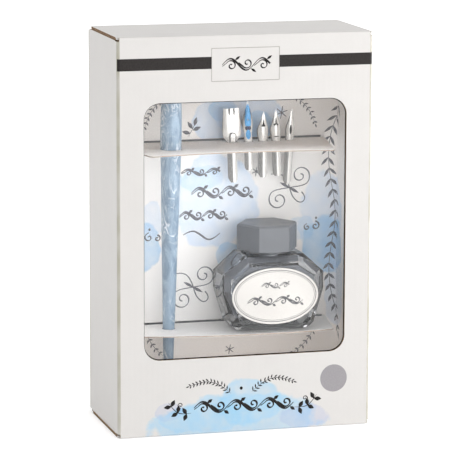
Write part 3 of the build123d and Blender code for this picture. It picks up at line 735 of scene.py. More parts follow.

# %% [markdown]
# ## Nibs
# Each nib is bright in the middle, and the shade of its bowed steel is painted on: dark along its stamped
# edges, wider on the left, and round its vent and slits. The left flank of its rolled tail, which turns away
# from the lamps, is painted dark too. An edge mask from the mesh would need far more points than a nib has.
# So the finish measures every point from the nib's own leaning middle line, aside and above the shelf, and a
# curve gives the nib's half width at each height.
# One nib is partly coated blue: a leaf above a round bead, with a dark waist between them.

# %% Where each nib stands
# place in the row, lean from upright in degrees, height above the upper shelf; lengths in millimetres
nib_lines = {
    "scroll_nib": (4.9, -2.2, 17.8),
    "blue_nib": (13.7, -2.0, 21.0),
    "vented_nib": (21.7, 0.0, 15.3),
    "trefoil_nib": (28.9, -2.2, 16.2),
    "slotted_nib": (36.2, 3.3, 16.2),
}
print("nibs:", len(nib_lines))

# %% Nib finishes
nib_bright = colour(250, 249, 246)
edge_shade_tone = colour(52, 47, 46)
nib_blue = colour(92, 172, 232)
waist_tone = colour(58, 62, 84)
curve_reach = 8.0  # the half width in millimetres that a curve's full height stands for


def along_nib(tree, place, x, lean):
    """How far aside of a nib's middle line a point is, and how high above the shelf."""
    across, y, z = parts_of(tree, place)
    above = calculate(tree, "SUBTRACT", z, upper_shelf_top)
    middle = calculate(tree, "MULTIPLY_ADD", above, math.tan(math.radians(lean)), x * mm)
    return calculate(tree, "SUBTRACT", across, middle), above


def oval(tree, aside, above, to_side, rise, half_wide, half_high):
    """1 inside an oval at this place on the nib; all sizes in millimetres."""
    u = calculate(tree, "DIVIDE", calculate(tree, "SUBTRACT", aside, to_side * mm), half_wide * mm)
    v = calculate(tree, "DIVIDE", calculate(tree, "SUBTRACT", above, rise * mm), half_high * mm)
    reach = calculate(tree, "ADD", calculate(tree, "MULTIPLY", u, u), calculate(tree, "MULTIPLY", v, v))
    return spread(tree, reach, 0.85, 1.15, 1.0, 0.0)


def blue_coat(tree, aside, above, paint):
    """The blue leaf and bead over the steel, with the waist between them; hands back where they lie too."""
    leaf = oval(tree, aside, above, 0, 12.0, 1.75, 7.8)
    leaf = calculate(tree, "MULTIPLY", leaf, spread(tree, above, 8.0 * mm, 8.3 * mm))
    coated = calculate(tree, "MAXIMUM", leaf, oval(tree, aside, above, 0, 3.7, 1.4, 2.5))
    paint = blend_colours(tree, oval(tree, aside, above, 0, 7.1, 1.7, 1.3), paint, waist_tone)
    return blend_colours(tree, coated, paint, nib_blue), coated


def nib_finish(name, form, shaded_spots, left_shade_width=0.55, blue=False):
    """Steel with painted shade at the nib's outline, given as (share of the height, half width), and on its
    spots.
    """
    x, lean, up = nib_lines[name]
    material, tree, shader, place = steel_finish(name + "_steel", nib_bright, 0.22, (1.0, 1.0, 0.06))
    aside, above = along_nib(tree, place, x, lean)
    outline = tree.nodes.new("ShaderNodeFloatCurve")
    knots = outline.mapping.curves[0].points
    while len(knots) < len(form):
        knots.new(0.5, 0.5)
    for knot, (share, half_width) in zip(knots, form):
        knot.location = (share, half_width / curve_reach)
    outline.mapping.update()
    tree.links.new(calculate(tree, "DIVIDE", above, up * mm, clamp=True), outline.inputs["Value"])
    half = calculate(tree, "MULTIPLY", outline.outputs[0], curve_reach * mm)
    from_left, from_right = calculate(tree, "ADD", half, aside), calculate(tree, "SUBTRACT", half, aside)
    # painted shade: dark rims along the outline, wider on the left and fainter near the tip, a dark left
    # flank on the tail, and dark spots round the openings
    left_edge_shade = spread(tree, from_left, 0.15 * mm, left_shade_width * mm, 0.75, 0.0)
    right_edge_shade = spread(tree, from_right, 0.05 * mm, 0.35 * mm, 0.6, 0.0)
    dark = calculate(tree, "MAXIMUM", left_edge_shade, right_edge_shade)
    bright_tip = spread(tree, above, 0.7 * up * mm, 0.9 * up * mm, 1.0, 0.3)
    dark = calculate(tree, "MULTIPLY", dark, bright_tip)
    left_flank_shade = spread(tree, aside, -0.35 * mm, 0.1 * mm, 0.72, 0.0)
    tail = spread(tree, above, -0.6 * mm, 0.0, 1.0, 0.0)
    dark = calculate(tree, "MAXIMUM", dark, calculate(tree, "MULTIPLY", left_flank_shade, tail))
    for spot in shaded_spots:
        dark = calculate(tree, "MAXIMUM", dark, oval(tree, aside, above, *spot))
    paint = shader.inputs["Base Color"].links[0].from_socket
    paint, coated = blue_coat(tree, aside, above, paint) if blue else (paint, 0.0)
    tree.links.new(blend_colours(tree, dark, paint, edge_shade_tone), shader.inputs["Base Color"])
    under_dark = calculate(tree, "MULTIPLY", dark, 0.85)
    under_blue = calculate(tree, "MULTIPLY", coated, 0.75)
    covered = calculate(tree, "MAXIMUM", under_dark, under_blue)
    tree.links.new(calculate(tree, "MULTIPLY_ADD", covered, -0.5, 0.5), shader.inputs["Metallic"])
    return material


def leaf_form(tail, body):
    """The outline of a leaf-shaped nib with these half widths."""
    return ((0.0, tail), (0.18, body * 0.92), (0.36, body), (0.7, body * 0.52), (1.0, 0.15))


scroll_form = ((0.0, 2.7), (0.17, 4.9), (0.45, 4.95), (1.0, 4.25))
# spots of painted shade round the openings: aside, above the shelf, half width, half height, in millimetres
scroll_slits = [(-1.3, 16.8, 0.45, 2.9), (1.3, 16.8, 0.45, 2.9)]
arrow_spots = [(0, 9.5, 0.4, 1.9), (0, 8.0, 1.15, 0.5)]
trefoil_spots = [(0, 10.4, 0.4, 1.9), (-0.8, 8.5, 0.55, 0.55), (0.8, 8.5, 0.55, 0.55), (0, 2.2, 1.5, 0.3)]
slot_spots = [(0, 5.6, 0.6, 2.5)]
finishes_by_node["scroll_nib"] = nib_finish("scroll_nib", scroll_form, scroll_slits, left_shade_width=0.5)
finishes_by_node["blue_nib"] = nib_finish("blue_nib", leaf_form(2.1, 3.1), [], left_shade_width=1.2, blue=True)
finishes_by_node["vented_nib"] = nib_finish("vented_nib", leaf_form(2.25, 3.0), arrow_spots)
finishes_by_node["trefoil_nib"] = nib_finish("trefoil_nib", leaf_form(2.2, 2.9), trefoil_spots)
finishes_by_node["slotted_nib"] = nib_finish("slotted_nib", leaf_form(2.0, 2.45), slot_spots)
print("nib finishes made")

# %% [markdown]
# ## The scroll nib's clip
# The small clip is a bent strip with a round upper end. Shade is painted dark round its rim, as on the nibs'
# edges, so it stands out from the nib behind it. The rim follows the outline, which is that of a block with
# fully rounded corners, so the depth group made for the board finds it.

# %% Clip finish
clip_steel, tree, shader, place = steel_finish("clip_steel", steel_tone, 0.2, (1.0, 1.0, 0.06))
clip_low, clip_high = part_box("nib_reservoir")
clip_foot = ((clip_low.x + clip_high.x) / 2, 0.0, clip_low.z)
clip_half = (clip_high.x - clip_low.x) / 2
clip_block = (clip_half, far, clip_high.z - clip_low.z)
clip = use(tree, block_depth, Place=place, Centre=clip_foot, Half_Size=clip_block, Round=clip_half)
paint = shader.inputs["Base Color"].links[0].from_socket
# painted shade round the clip's rim
rim_shade = spread(tree, clip["Depth"], 0.25 * mm, 0.6 * mm, 1.0, 0.0)
tree.links.new(blend_colours(tree, rim_shade, paint, edge_shade_tone), shader.inputs["Base Color"])
tree.links.new(calculate(tree, "MULTIPLY_ADD", rim_shade, -0.85, 1.0), shader.inputs["Metallic"])
finishes_by_node["nib_reservoir"] = clip_steel
print("clip half width", round(clip_half / mm, 2), "mm")

# %% [markdown]
# ## Pen holder
# The handle is dipped in a marbled lacquer: grey-blue, with white feathers combed through it. Stripes
# from a wave texture would be too regular. Noise that is warped and squeezed across the pen gives the
# drift of the colour, and thin level lines of a second noise give the feathers, as contour lines do on a
# map.

# %% Marbled lacquer
contours = 6.0  # level lines from the lowest to the highest of the noise
lacquer, tree, shader = new_material("marbled_lacquer")
place = here(tree)
drift = grainy(tree, place, 14 * mm, detail=3.0, stretch=(2.2, 2.2, 0.7), warp=1.5)
drifted = spread(tree, drift, 0.35, 0.65)
paint = blend_colours(tree, drifted, colour(112, 135, 156), colour(150, 171, 190))
combed = grainy(tree, place, 17 * mm, detail=3.0, stretch=(1.8, 1.8, 0.8), warp=2.2)
level = calculate(tree, "FRACT", calculate(tree, "MULTIPLY", combed, contours))
line = calculate(tree, "ABSOLUTE", calculate(tree, "SUBTRACT", level, 0.5))
in_patches = spread(tree, grainy(tree, place, 15 * mm, detail=2.0), 0.46, 0.6)
feather = calculate(tree, "MULTIPLY", spread(tree, line, 0.05, 0.19, 1.0, 0.0), in_patches)
paint = blend_colours(tree, calculate(tree, "MULTIPLY", feather, 0.7), paint, colour(236, 242, 248))
tree.links.new(paint, shader.inputs["Base Color"])
hair = use(tree, scratches, Place=place)
tree.links.new(calculate(tree, "MULTIPLY_ADD", hair["Mask"], 0.2, 0.26), shader.inputs["Roughness"])
shader.inputs["Coat Weight"].default_value = 0.35
raised(tree, shader, combed, 0.03 * mm)
print("lacquer nodes:", len(tree.nodes))

# %% [markdown]
# ## Film
# The window film is nearly clear, with a faint milky bloom. It could be a glass shader, but a film a
# quarter of a millimetre thin hardly bends light, and glass would dim what stands behind it. So it is
# a glossy surface that is almost transparent, and gets milkier towards a grazing view.

# %% Film
film, tree, shader = new_material("clear_film")
place = here(tree)
view = tree.nodes.new("ShaderNodeLayerWeight")
view.inputs["Blend"].default_value = 0.5
grazing = calculate(tree, "POWER", view.outputs["Facing"], 3.0)
bloom = spread(tree, grainy(tree, place, 40 * mm, detail=1.0), 0.3, 0.7, 0.022, 0.034)
veil = calculate(tree, "MULTIPLY_ADD", grazing, 0.35, bloom, clamp=True)
tree.links.new(veil, shader.inputs["Alpha"])
shader.inputs["Base Color"].default_value = (0.93, 0.95, 0.97, 1)
ripple = grainy(tree, place, 26 * mm, detail=1.0)
tree.links.new(calculate(tree, "MULTIPLY_ADD", ripple, 0.08, 0.05), shader.inputs["Roughness"])
raised(tree, shader, ripple, 0.15 * mm)
print("film nodes:", len(tree.nodes))

# %% [markdown]
# ## Bottle and ink
# The bottle is faceted glass with a thick clear foot, and slightly grey above it. The ink fills the
# hollow. Seen through the glass and the film it reads as a mid grey rather than black, so its colour is
# written lighter than ink in the hand. The swirl and the waves in the gloss keep both from looking
# like plastic.

# %% Glass
glass_base = 54.0 * mm  # the thick foot ends here
glass, tree, shader = new_material("bottle_glass")
place = here(tree)
low_in_base = spread(tree, parts_of(tree, place)["Z"], glass_base - 3 * mm, glass_base + 2 * mm)
tint = blend_colours(tree, low_in_base, colour(250, 252, 252), colour(216, 219, 223))
tree.links.new(tint, shader.inputs["Base Color"])
shader.inputs["Transmission Weight"].default_value = 1.0
shader.inputs["IOR"].default_value = 1.5
tree.links.new(spread(tree, grainy(tree, place, 4 * mm), 0.3, 0.8, 0.0, 0.03), shader.inputs["Roughness"])
raised(tree, shader, grainy(tree, place, 7 * mm, detail=1.0), 0.04 * mm)
print("glass nodes:", len(tree.nodes))

# %% Ink
ink_finish, tree, shader = new_material("ink")
place = here(tree)
swirl = grainy(tree, place, 12 * mm, detail=2.0)
paint = blend_colours(tree, swirl, colour(132, 134, 140), colour(152, 154, 160))
tree.links.new(paint, shader.inputs["Base Color"])
tree.links.new(spread(tree, swirl, 0.3, 0.7, 0.08, 0.16), shader.inputs["Roughness"])
print("ink nodes:", len(tree.nodes))

# %% [markdown]
# ## Cap, wad and label paper
# The cap is moulded in dark grey plastic with a fine satin grain, rubbed paler round its top edge. The
# wad in it is white foam, whose cells show as a fine pattern and relief. The label is the card's paper
# grain over a warm white, written a little darker because the lamps behind the film are so near to it.

# %% Cap plastic
cap_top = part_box("bottle_cap")[1].z
cap_plastic, tree, shader = new_material("cap_plastic")
place = here(tree)
grain = grainy(tree, place, 0.25 * mm, detail=2.0)
cloud = grainy(tree, place, 6 * mm, detail=3.0)
paint = blend_colours(tree, cloud, colour(90, 93, 98), colour(104, 107, 112))
near_top = use(tree, between, Value=parts_of(tree, place)["Z"], Low=cap_top - 1.0 * mm,
               High=cap_top - 0.05 * mm, Soft=0.5 * mm)["Mask"]
paint = blend_colours(tree, calculate(tree, "MULTIPLY", near_top, 0.35), paint, colour(128, 131, 136))
tree.links.new(paint, shader.inputs["Base Color"])
tree.links.new(spread(tree, cloud, 0.3, 0.7, 0.34, 0.46), shader.inputs["Roughness"])
raised(tree, shader, grain, 0.01 * mm)
print("cap nodes:", len(tree.nodes))

# %% Wad and label paper
foam, tree, shader = new_material("liner_foam")
place = here(tree)
cells = grainy(tree, place, 0.4 * mm, detail=1.0)
paint = blend_colours(tree, cells, colour(214, 214, 210), colour(238, 238, 234))
tree.links.new(paint, shader.inputs["Base Color"])
tree.links.new(spread(tree, cells, 0.2, 0.8, 0.7, 0.9), shader.inputs["Roughness"])
raised(tree, shader, cells, 0.05 * mm)
label_paper, tree, shader = new_material("label_paper")
grained(tree, shader, colour(206, 203, 199), here(tree), 0.45)
print("label and wad finished")

# %% [markdown]
# ## Put the finishes on the model
# Board, card and nibs have a finish for each piece, because theirs reads where the piece lies. Every
# other piece takes the finish of its material slot.

# %% Put the finishes on
finishes_by_slot = {
    "clear_film": film,
    "marbled_lacquer": lacquer,
    "plated_steel": plated_steel,
    "bottle_glass": glass,
    "ink": ink_finish,
    "cap_plastic": cap_plastic,
    "liner_foam": foam,
    "label_paper": label_paper,
}
slots = {part["node"]: part["material_slot"] for part in frame["record"]["subparts"]}
for name, node in frame["nodes"].items():
    node.data.materials.clear()
    node.data.materials.append(finishes_by_node.get(name) or finishes_by_slot[slots[name]])
print("finished nodes:", len(frame["nodes"]))

# %% [markdown]
# ## Ink lines
# Everything drawn in ink is a set of pen strokes. A stroke is a smooth line through a few control
# points, each with its own half width, so it swells and thins as a pen does. A texture could draw the
# same, but it would blur at a close look. All strokes of one print are splines of one curve with a round
# section; the mesh made from it is pressed flat on the paper, and stands two hundredths of a millimetre
# proud.

# %% Strokes
def stroke(points, width, ends=0.25):
    """An even line that thins at both ends; points are (x, z) in millimetres."""
    last = len(points) - 1
    return [(x, z, width / 2 * (ends if k in (0, last) else 1.0)) for k, (x, z) in enumerate(points)]


def pen_line(points, thin, thick, slope=40.0):
    """A line drawn with a broad pen held at this slope: thick across it, thin along it."""
    drawn = []
    for k, (x, z) in enumerate(points):
        (x0, z0), (x1, z1) = points[max(k - 1, 0)], points[min(k + 1, len(points) - 1)]
        across = abs(math.sin(math.atan2(z1 - z0, x1 - x0) - math.radians(slope)))
        drawn.append((x, z, (thin + (thick - thin) * across) / 2))
    return drawn


def leaf(x, z, angle, length, width):
    """A pointed leaf from its foot at (x, z), with the angle in degrees."""
    a = math.radians(angle)
    form = ((0.0, 0.1), (0.28, 0.9), (0.62, 1.0), (1.0, 0.05))
    return [(x + length * way * math.cos(a), z + length * way * math.sin(a), width / 2 * full)
            for way, full in form]


def spiral(x, z, radius, turns, start, points_per_turn=9):
    """Points that wind from a circle of this radius in to its middle; negative turns run clockwise."""
    count = round(abs(turns) * points_per_turn)
    around = [(radius * (1 - 0.86 * k / count), math.radians(start) + 2 * math.pi * turns * k / count)
              for k in range(count + 1)]
    return [(x + r * math.cos(a), z + r * math.sin(a)) for r, a in around]


def walk(points, count):
    """Evenly spaced places on a line through the points, each as (x, z, direction in degrees)."""
    lengths = [math.dist(a, b) for a, b in zip(points, points[1:])]
    places = []
    for k in range(count):
        left = sum(lengths) * (k + 0.5) / count
        leg = 0
        while left > lengths[leg] and leg < len(lengths) - 1:
            left -= lengths[leg]
            leg += 1
        (x0, z0), (x1, z1) = points[leg], points[leg + 1]
        share = left / lengths[leg]
        along = math.degrees(math.atan2(z1 - z0, x1 - x0))
        places.append((x0 + (x1 - x0) * share, z0 + (z1 - z0) * share, along))
    return places


print("stroke tools ready")

# %% [markdown]
# ## Ornaments
# Where a maker would put words, this box has ornament: garlands of small leaves, running vines and
# double scrolls. Each is a function of a few sizes that hands back its strokes, so the same plant
# can be drawn small on the label and large on the card.

# %% Ornaments


def garland(points, pairs, length, width, splay=50.0, stem=0.3):
    """A stem with pairs of leaves and one at its tip."""
    strokes = [stroke(points, stem)]
    for k, (x, z, along) in enumerate(walk(points, pairs)):
        size = length * (1.0 - 0.35 * k / pairs)
        strokes += [leaf(x, z, along + turn, size, width) for turn in (splay, -splay)]
    (x0, z0), (x1, z1) = points[-2:]
    strokes.append(leaf(x1, z1, math.degrees(math.atan2(z1 - z0, x1 - x0)), length * 0.8, width))
    return strokes


def star(x, z, radius, width):
    """Three short lines that cross."""
    spokes = [math.radians(turn) for turn in (20, 80, 140)]
    return [stroke([(x - radius * math.cos(a), z - radius * math.sin(a)), (x, z),
                    (x + radius * math.cos(a), z + radius * math.sin(a))], width, ends=0.5) for a in spokes]


def dot(x, z, radius):
    """A round spot, as a very short thick line."""
    form = ((-1.0, 0.1), (-0.9, 0.7), (0.0, 1.25), (0.9, 0.7), (1.0, 0.1))
    return [(x + radius * way, z, radius * full) for way, full in form]


def vine(x, z, length, height, bays, thin, thick):
    """A running vine: a waved stem, a curl wound up in each of its bays, and a leaf behind each crest."""
    step = length / bays
    rise = height * 0.36
    stem = [(x + step * k / 4, z + rise * math.sin(math.pi * k / 4)) for k in range(4 * bays + 1)]
    strokes = [pen_line(stem, thin, thick)]
    for k in range(bays):
        side = 1 if k % 2 == 0 else -1
        middle = x + step * (k + 0.56)
        curl_radius = min(step * 0.36, height * 0.34)
        curl = spiral(middle, z - side * height * 0.06, curl_radius, -1.3 * side, 180 - side * 20)
        foot = (x + step * k, z - side * rise * 0.25)
        strokes.append(pen_line([foot] + curl, thin, thick * 0.8))
        crest = (x + step * (k + 0.8), z + side * rise * 0.7)
        strokes.append(leaf(*crest, 35 * side, height * 0.36, thick * 1.3))
    return strokes


def scroll(x, z, wide, high, thin, thick):
    """Two spirals joined by a long slanting stroke, with a leaf at each crossing."""
    upper = spiral(x + wide * 0.25, z + high * 0.25, high * 0.24, 1.4, -60)
    lower = spiral(x - wide * 0.25, z - high * 0.25, high * 0.24, 1.4, 120)
    shares = ((-0.42, 0.3), (-0.2, 0.34), (-0.02, 0.1), (0.06, -0.2),
              (0.26, -0.36), (0.4, -0.22), (0.28, -0.1))
    counter = [(x + wide * across, z + high * up) for across, up in shares]
    return [pen_line(upper[::-1] + [(x, z)] + lower, thin, thick), pen_line(counter, thin * 0.9, thick * 0.8),
            leaf(x, z, 150, high * 0.24, thick * 2.0), leaf(x, z, -30, high * 0.24, thick * 2.0)]


print("ornaments ready")

# %% [markdown]
# ## Printing and inks
# A print rides on the body it is printed on. On the display card's right wing the lines turn forwards
# with the card. Offset ink takes unevenly on card, so each ink is two close tones mottled together. It
# is duller than the coated paper round it.

# %% Printing
ink_height = 0.02 * mm
ink_gloss = 0.12


def printed(name, strokes, y, material, body, fold_x=None):
    """The strokes, in millimetres, as thin ink on an upright face at y. Past fold_x they turn forwards."""
    lines = bpy.data.curves.new(name + "_lines", "CURVE")
    lines.dimensions = "3D"
    lines.bevel_depth = 1.0
    lines.bevel_resolution = 0
    lines.resolution_u = 5
    lines.use_fill_caps = True
    for line in strokes:
        spline = lines.splines.new("NURBS")
        spline.points.add(len(line) - 1)
        for point, (x, z, half) in zip(spline.points, line):
            point.co = (x * mm, 0.0, z * mm, 1.0)
            point.radius = half * mm
        spline.order_u = 3
        spline.use_endpoint_u = True
    drawing = bpy.data.objects.new(name + "_lines", lines)
    bpy.context.scene.collection.objects.link(drawing)
    mesh = bpy.data.meshes.new_from_object(drawing.evaluated_get(bpy.context.evaluated_depsgraph_get()))
    bpy.data.objects.remove(drawing)
    mesh.name = name
    for vertex in mesh.vertices:
        proud = max(-ink_height, min(ink_height, vertex.co.y))
        x, z = vertex.co.x, vertex.co.z
        if fold_x is None or x < fold_x:
            vertex.co = (x, y + proud, z)
        else:
            vertex.co = (fold_x + proud, y - (x - fold_x), z)
    mesh.materials.clear()
    mesh.materials.append(material)
    piece = bpy.data.objects.new(name, mesh)
    bpy.context.scene.collection.objects.link(piece)
    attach(piece, body)
    print(name, "strokes:", len(strokes), "faces:", len(mesh.polygons))
    return piece


def ink_colour(name, dark, light, roughness=0.4):
    """Printing ink that took unevenly on the paper."""
    material, tree, shader = new_material(name)
    place = here(tree)
    mottled = spread(tree, grainy(tree, place, 0.8 * mm, detail=3.0), 0.3, 0.7)
    tree.links.new(blend_colours(tree, mottled, dark, light), shader.inputs["Base Color"])
    tree.links.new(calculate(tree, "MULTIPLY_ADD", mottled, 0.12, roughness), shader.inputs["Roughness"])
    shader.inputs["Specular IOR Level"].default_value = ink_gloss
    return material


def finish_piece(name, shape, material, body):
    """Turns a finished shape into a piece that rides on a body."""
    bmesh.ops.recalc_face_normals(shape, faces=shape.faces[:])
    mesh = bpy.data.meshes.new(name)
    shape.to_mesh(mesh)
    shape.free()
    mesh.materials.append(material)
    piece = bpy.data.objects.new(name, mesh)
    bpy.context.scene.collection.objects.link(piece)
    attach(piece, body)
    print(name, "faces:", len(mesh.polygons))
    return piece


dark_ink = ink_colour("dark_ink", colour(30, 28, 27), colour(44, 41, 40))
stripe_ink = ink_colour("stripe_ink", colour(42, 39, 38), colour(54, 50, 49))
grey_ink = ink_colour("grey_ink", colour(116, 117, 123), colour(136, 137, 143))
label_ink = ink_colour("label_ink", colour(92, 92, 94), colour(112, 112, 114))
badge_ink = ink_colour("badge_ink", colour(158, 155, 158), colour(166, 162, 165))
frame_ink = ink_colour("frame_ink", colour(168, 163, 158), colour(184, 179, 174))
print("inks ready, each", ink_height / mm, "mm proud")

# %% [markdown]
# ## Front panel print
# Under the window a running vine stands on the blue wash, between two leafy twigs. Above it two
# garlands bow apart from a dot. All of it is one print of dark ink, given in millimetres on the panel.

# %% Front panel print
left_garland = [(-7.5, 20.4), (-12.5, 25.0), (-19.0, 27.4), (-25.0, 26.6), (-29.5, 25.2)]
right_garland = [(3.5, 20.4), (8.5, 25.0), (15.0, 27.6), (21.0, 26.8), (26.0, 24.8)]
front_strokes = garland(left_garland, 13, 2.5, 0.75) + garland(right_garland, 13, 2.5, 0.75)
front_strokes.append(dot(-2.0, 22.8, 0.8))
front_strokes += vine(-27.0, 13.8, 53.0, 8.8, 6, 0.35, 1.4)
twig_middle = -1.0
for flip in (-1, 1):
    twig = [(twig_middle + flip * x, z) for x, z in ((27.5, 11.2), (33.0, 10.6), (37.0, 13.4), (39.5, 17.2))]
    front_strokes.append(stroke(twig, 0.45))
    for x, z, along in walk(twig, 3):
        front_strokes += [leaf(x, z, along + turn * flip, 3.9, 2.3) for turn in (62, -62)]
    front_strokes.append(pen_line(spiral(twig_middle + flip * 33.2, 15.6, 1.7, 1.3 * flip, -90), 0.25, 0.5))
printed("front_print", front_strokes, front_y, dark_ink, "carton")

# %% [markdown]
# ## Stripe
# A dark band runs across the front under the lid, and a little way round both upright folds. Its middle
# is left open for the framed label. A flat strip would stop at the fold, so an upright edge is spun
# about the fold's middle and then drawn out along the panel, which keeps the band on the board.

# %% Stripe
label_left, label_right, label_bottom, label_top = -18.1, 17.4, 181.7, 198.4  # millimetres
stripe_bottom, stripe_top = 188.1 * mm, 194.2 * mm


def stripe(name, inner_x, side):
    """A band of ink from the label to an upright fold, and round it."""
    shape = bmesh.new()
    fold_middle = Vector((side * (half_x - fold_radius), front_y + fold_radius, 0))
    low = shape.verts.new((fold_middle.x, front_y - ink_height, stripe_bottom))
    high = shape.verts.new((fold_middle.x, front_y - ink_height, stripe_top))
    edge = shape.edges.new((low, high))
    bmesh.ops.spin(shape, geom=[low, high, edge], cent=fold_middle, axis=(0, 0, 1),
                   angle=side * math.radians(62), steps=8)
    run = bmesh.ops.extrude_edge_only(shape, edges=[edge])
    moved = [v for v in run["geom"] if isinstance(v, bmesh.types.BMVert)]
    bmesh.ops.translate(shape, verts=moved, vec=(inner_x - fold_middle.x, 0, 0))
    bmesh.ops.remove_doubles(shape, verts=shape.verts[:], dist=0.001 * mm)
    bmesh.ops.recalc_face_normals(shape, faces=shape.faces[:])
    bmesh.ops.solidify(shape, geom=shape.faces[:], thickness=ink_height)
    return finish_piece(name, shape, stripe_ink, "carton")


stripe("stripe_left", label_left * mm, -1)
stripe("stripe_right", label_right * mm, 1)

# %% [markdown]
# ## Badge and framed label
# The badge is a plain round spot of ink: a disc, drawn flat, given its thickness and stood up against
# the panel. The label is a thin frame round a small vine.

# %% Badge
badge_radius = 7.2 * mm
badge_place = (47.6 * mm, front_y, 25.3 * mm)
upright = Matrix.Rotation(math.radians(90), 3, "X")


def stand_up(shape, place):
    """Turns a shape that lies flat upright, so that it faces the front, and moves it to its place."""
    bmesh.ops.rotate(shape, verts=shape.verts[:], cent=(0, 0, 0), matrix=upright)
    bmesh.ops.translate(shape, verts=shape.verts[:], vec=place)


badge = bmesh.new()
bmesh.ops.create_circle(badge, cap_ends=True, segments=72, radius=badge_radius)
raised_disc = bmesh.ops.extrude_face_region(badge, geom=badge.faces[:])
lifted = [v for v in raised_disc["geom"] if isinstance(v, bmesh.types.BMVert)]
bmesh.ops.translate(badge, verts=lifted, vec=(0, 0, ink_height))
stand_up(badge, badge_place)
finish_piece("badge", badge, badge_ink, "carton")

# %% Framed label
corners = [(label_left, label_bottom), (label_right, label_bottom),
           (label_right, label_top), (label_left, label_top)]
frame_strokes = []
for (x0, z0), (x1, z1) in zip(corners, corners[1:] + corners[:1]):
    frame_strokes.append(stroke([(x0, z0), ((x0 + x1) / 2, (z0 + z1) / 2), (x1, z1)], 0.34, ends=0.9))
printed("label_frame", frame_strokes, front_y, frame_ink, "carton")
label_vine = vine(-12.5, 190.0, 25.0, 9.0, 3, 0.3, 1.0)
printed("label_vine", label_vine, front_y, dark_ink, "carton")

# %% [markdown]
# ## Gaps above the shelves
# Each shelf's tab passes through a slot in the display card, and above it the slot's gap lies in shade as a
# dark line. The slot in the model fits the shelf closely, so that shade is painted as a thin dark strip on
# the card.

# %% Painted shadow in the gaps where the shelves pass through the card
gap_half_high = 0.5 * mm
# painted shadow of the gap above each shelf, made with the ink tool
slot_shadow_paint = ink_colour("slot_shadow_paint", colour(104, 106, 108), colour(124, 126, 128), 0.8)
slot_gaps = (
    ("upper_slot_gap", -56.0, 55.5, upper_shelf_top),
    ("lower_slot_gap", -57.0, 57.0, lower_shelf_top),
)
for name, left, right, foot in slot_gaps:
    gap = flat_panel((right - left) / 2 * mm, gap_half_high)
    bmesh.ops.solidify(gap, geom=gap.faces[:], thickness=ink_height)
    stand_up(gap, ((left + right) / 2 * mm, card_y, foot + gap_half_high))
    finish_piece(name, gap, slot_shadow_paint, "carton")

# %% [markdown]
# ## Display card print
# The card is printed in soft grey: garlands in its four corners, a twig, stars, three lines of vine
# where words could stand, two large double scrolls and small curls at the sides. A tall garland climbs
# the right wing, and its leaves turn the fold with the card.

# %% Display card print
card_strokes = []
for corner in (
    [(-31, 166.5), (-35.5, 162), (-38.5, 157), (-40.5, 151)],
    [(41, 166.5), (46, 162.5), (50, 157.5), (52.5, 151)],
    [(-40.5, 47), (-38.5, 40), (-34.5, 34), (-29, 29)],
    [(54, 44), (51, 37.5), (46.5, 32), (40, 27.5)],
):
    card_strokes += garland(corner, 7, 2.6, 0.9)
stem = [(-16.8, 146.5), (-14.6, 149.8), (-12.6, 154.0)]
card_strokes.append(stroke(stem, 0.5))
card_strokes += [leaf(x, z, a, 4.6, 2.1) for x, z, a in
                 ((-14.4, 150.6, 125), (-13.4, 152.2, 75), (-14.2, 149.9, 20), (-15.6, 148.2, 165))]
for x, z, size in ((34.0, 157.6, 3.4), (20.3, 126.8, 2.6), (6.0, 32.0, 2.6)):
    card_strokes += star(x, z, size, 0.7)
card_strokes += vine(-20.5, 127.6, 21.0, 5.2, 3, 0.4, 1.1)
card_strokes += vine(-15.0, 116.6, 33.0, 8.4, 4, 0.4, 1.3)
card_strokes += vine(-21.5, 104.6, 26.0, 6.6, 4, 0.4, 1.2)
card_strokes += scroll(38.5, 117.5, 24.0, 25.0, 0.3, 0.8)
card_strokes += scroll(-14.0, 66.5, 23.0, 25.0, 0.3, 0.8)
flourish = [(-19.5, 94.5), (-15.0, 97.2), (-10.5, 94.8), (-6.0, 91.0), (-1.5, 92.8), (0.5, 94.8)]
card_strokes.append(pen_line(flourish, 0.3, 1.1))
for x, z, flip in ((-38.0, 94.0, 1), (53.0, 96.5, -1)):
    card_strokes.append(pen_line(spiral(x, z, 2.6, 1.2 * flip, 90), 0.35, 0.9))
    card_strokes.append(pen_line(spiral(x + 4.6 * flip, z - 0.6, 1.9, -1.2 * flip, 90), 0.35, 0.9))
    card_strokes.append(dot(x + 0.4, z + 4.2, 0.6))
side_spine = [(68, 163), (63, 152), (60.5, 143), (59.8, 132), (61.5, 120), (64, 108), (64, 96), (61.5, 84),
              (60.5, 72), (62, 60), (65.5, 49), (68.5, 40)]
card_strokes += garland(side_spine, 22, 6.2, 1.6, splay=40.0, stem=0.35)
printed("card_print", card_strokes, card_y, grey_ink, "carton", fold_x=right_wing_x)

# %% [markdown]
# ## Window's edge
# The film is glued behind the window, and the shadow in the gap between the cut edge and the film is painted
# as a dark line along the edge. It is a frame of even width: a rectangle whose corners are rounded by a
# bevel, inset, and emptied.

# %% Painted shadow round the window
window_half = Vector((53.3, 66.0)) * mm
window_middle, window_corner = 105.5 * mm, 8.5 * mm
edge_shadow_width = 0.5 * mm
line = flat_panel(window_half.x, window_half.y)
bmesh.ops.bevel(line, geom=line.verts[:], offset=window_corner, segments=10, profile=0.5,
                affect="VERTICES", material=-1)
bmesh.ops.inset_region(line, faces=line.faces[:], thickness=edge_shadow_width,
                       use_boundary=True, use_even_offset=True)
inner = max(line.faces, key=lambda face: len(face.verts))
bmesh.ops.delete(line, geom=[inner], context="FACES_ONLY")
stand_up(line, (0, film_low.y, window_middle))
bmesh.ops.recalc_face_normals(line, faces=line.faces[:])
bmesh.ops.solidify(line, geom=line.faces[:], thickness=ink_height)
# painted shadow: a dark line where the window's cut edge shades the film
finish_piece("window_edge_shadow", line, dark_ink, "carton")

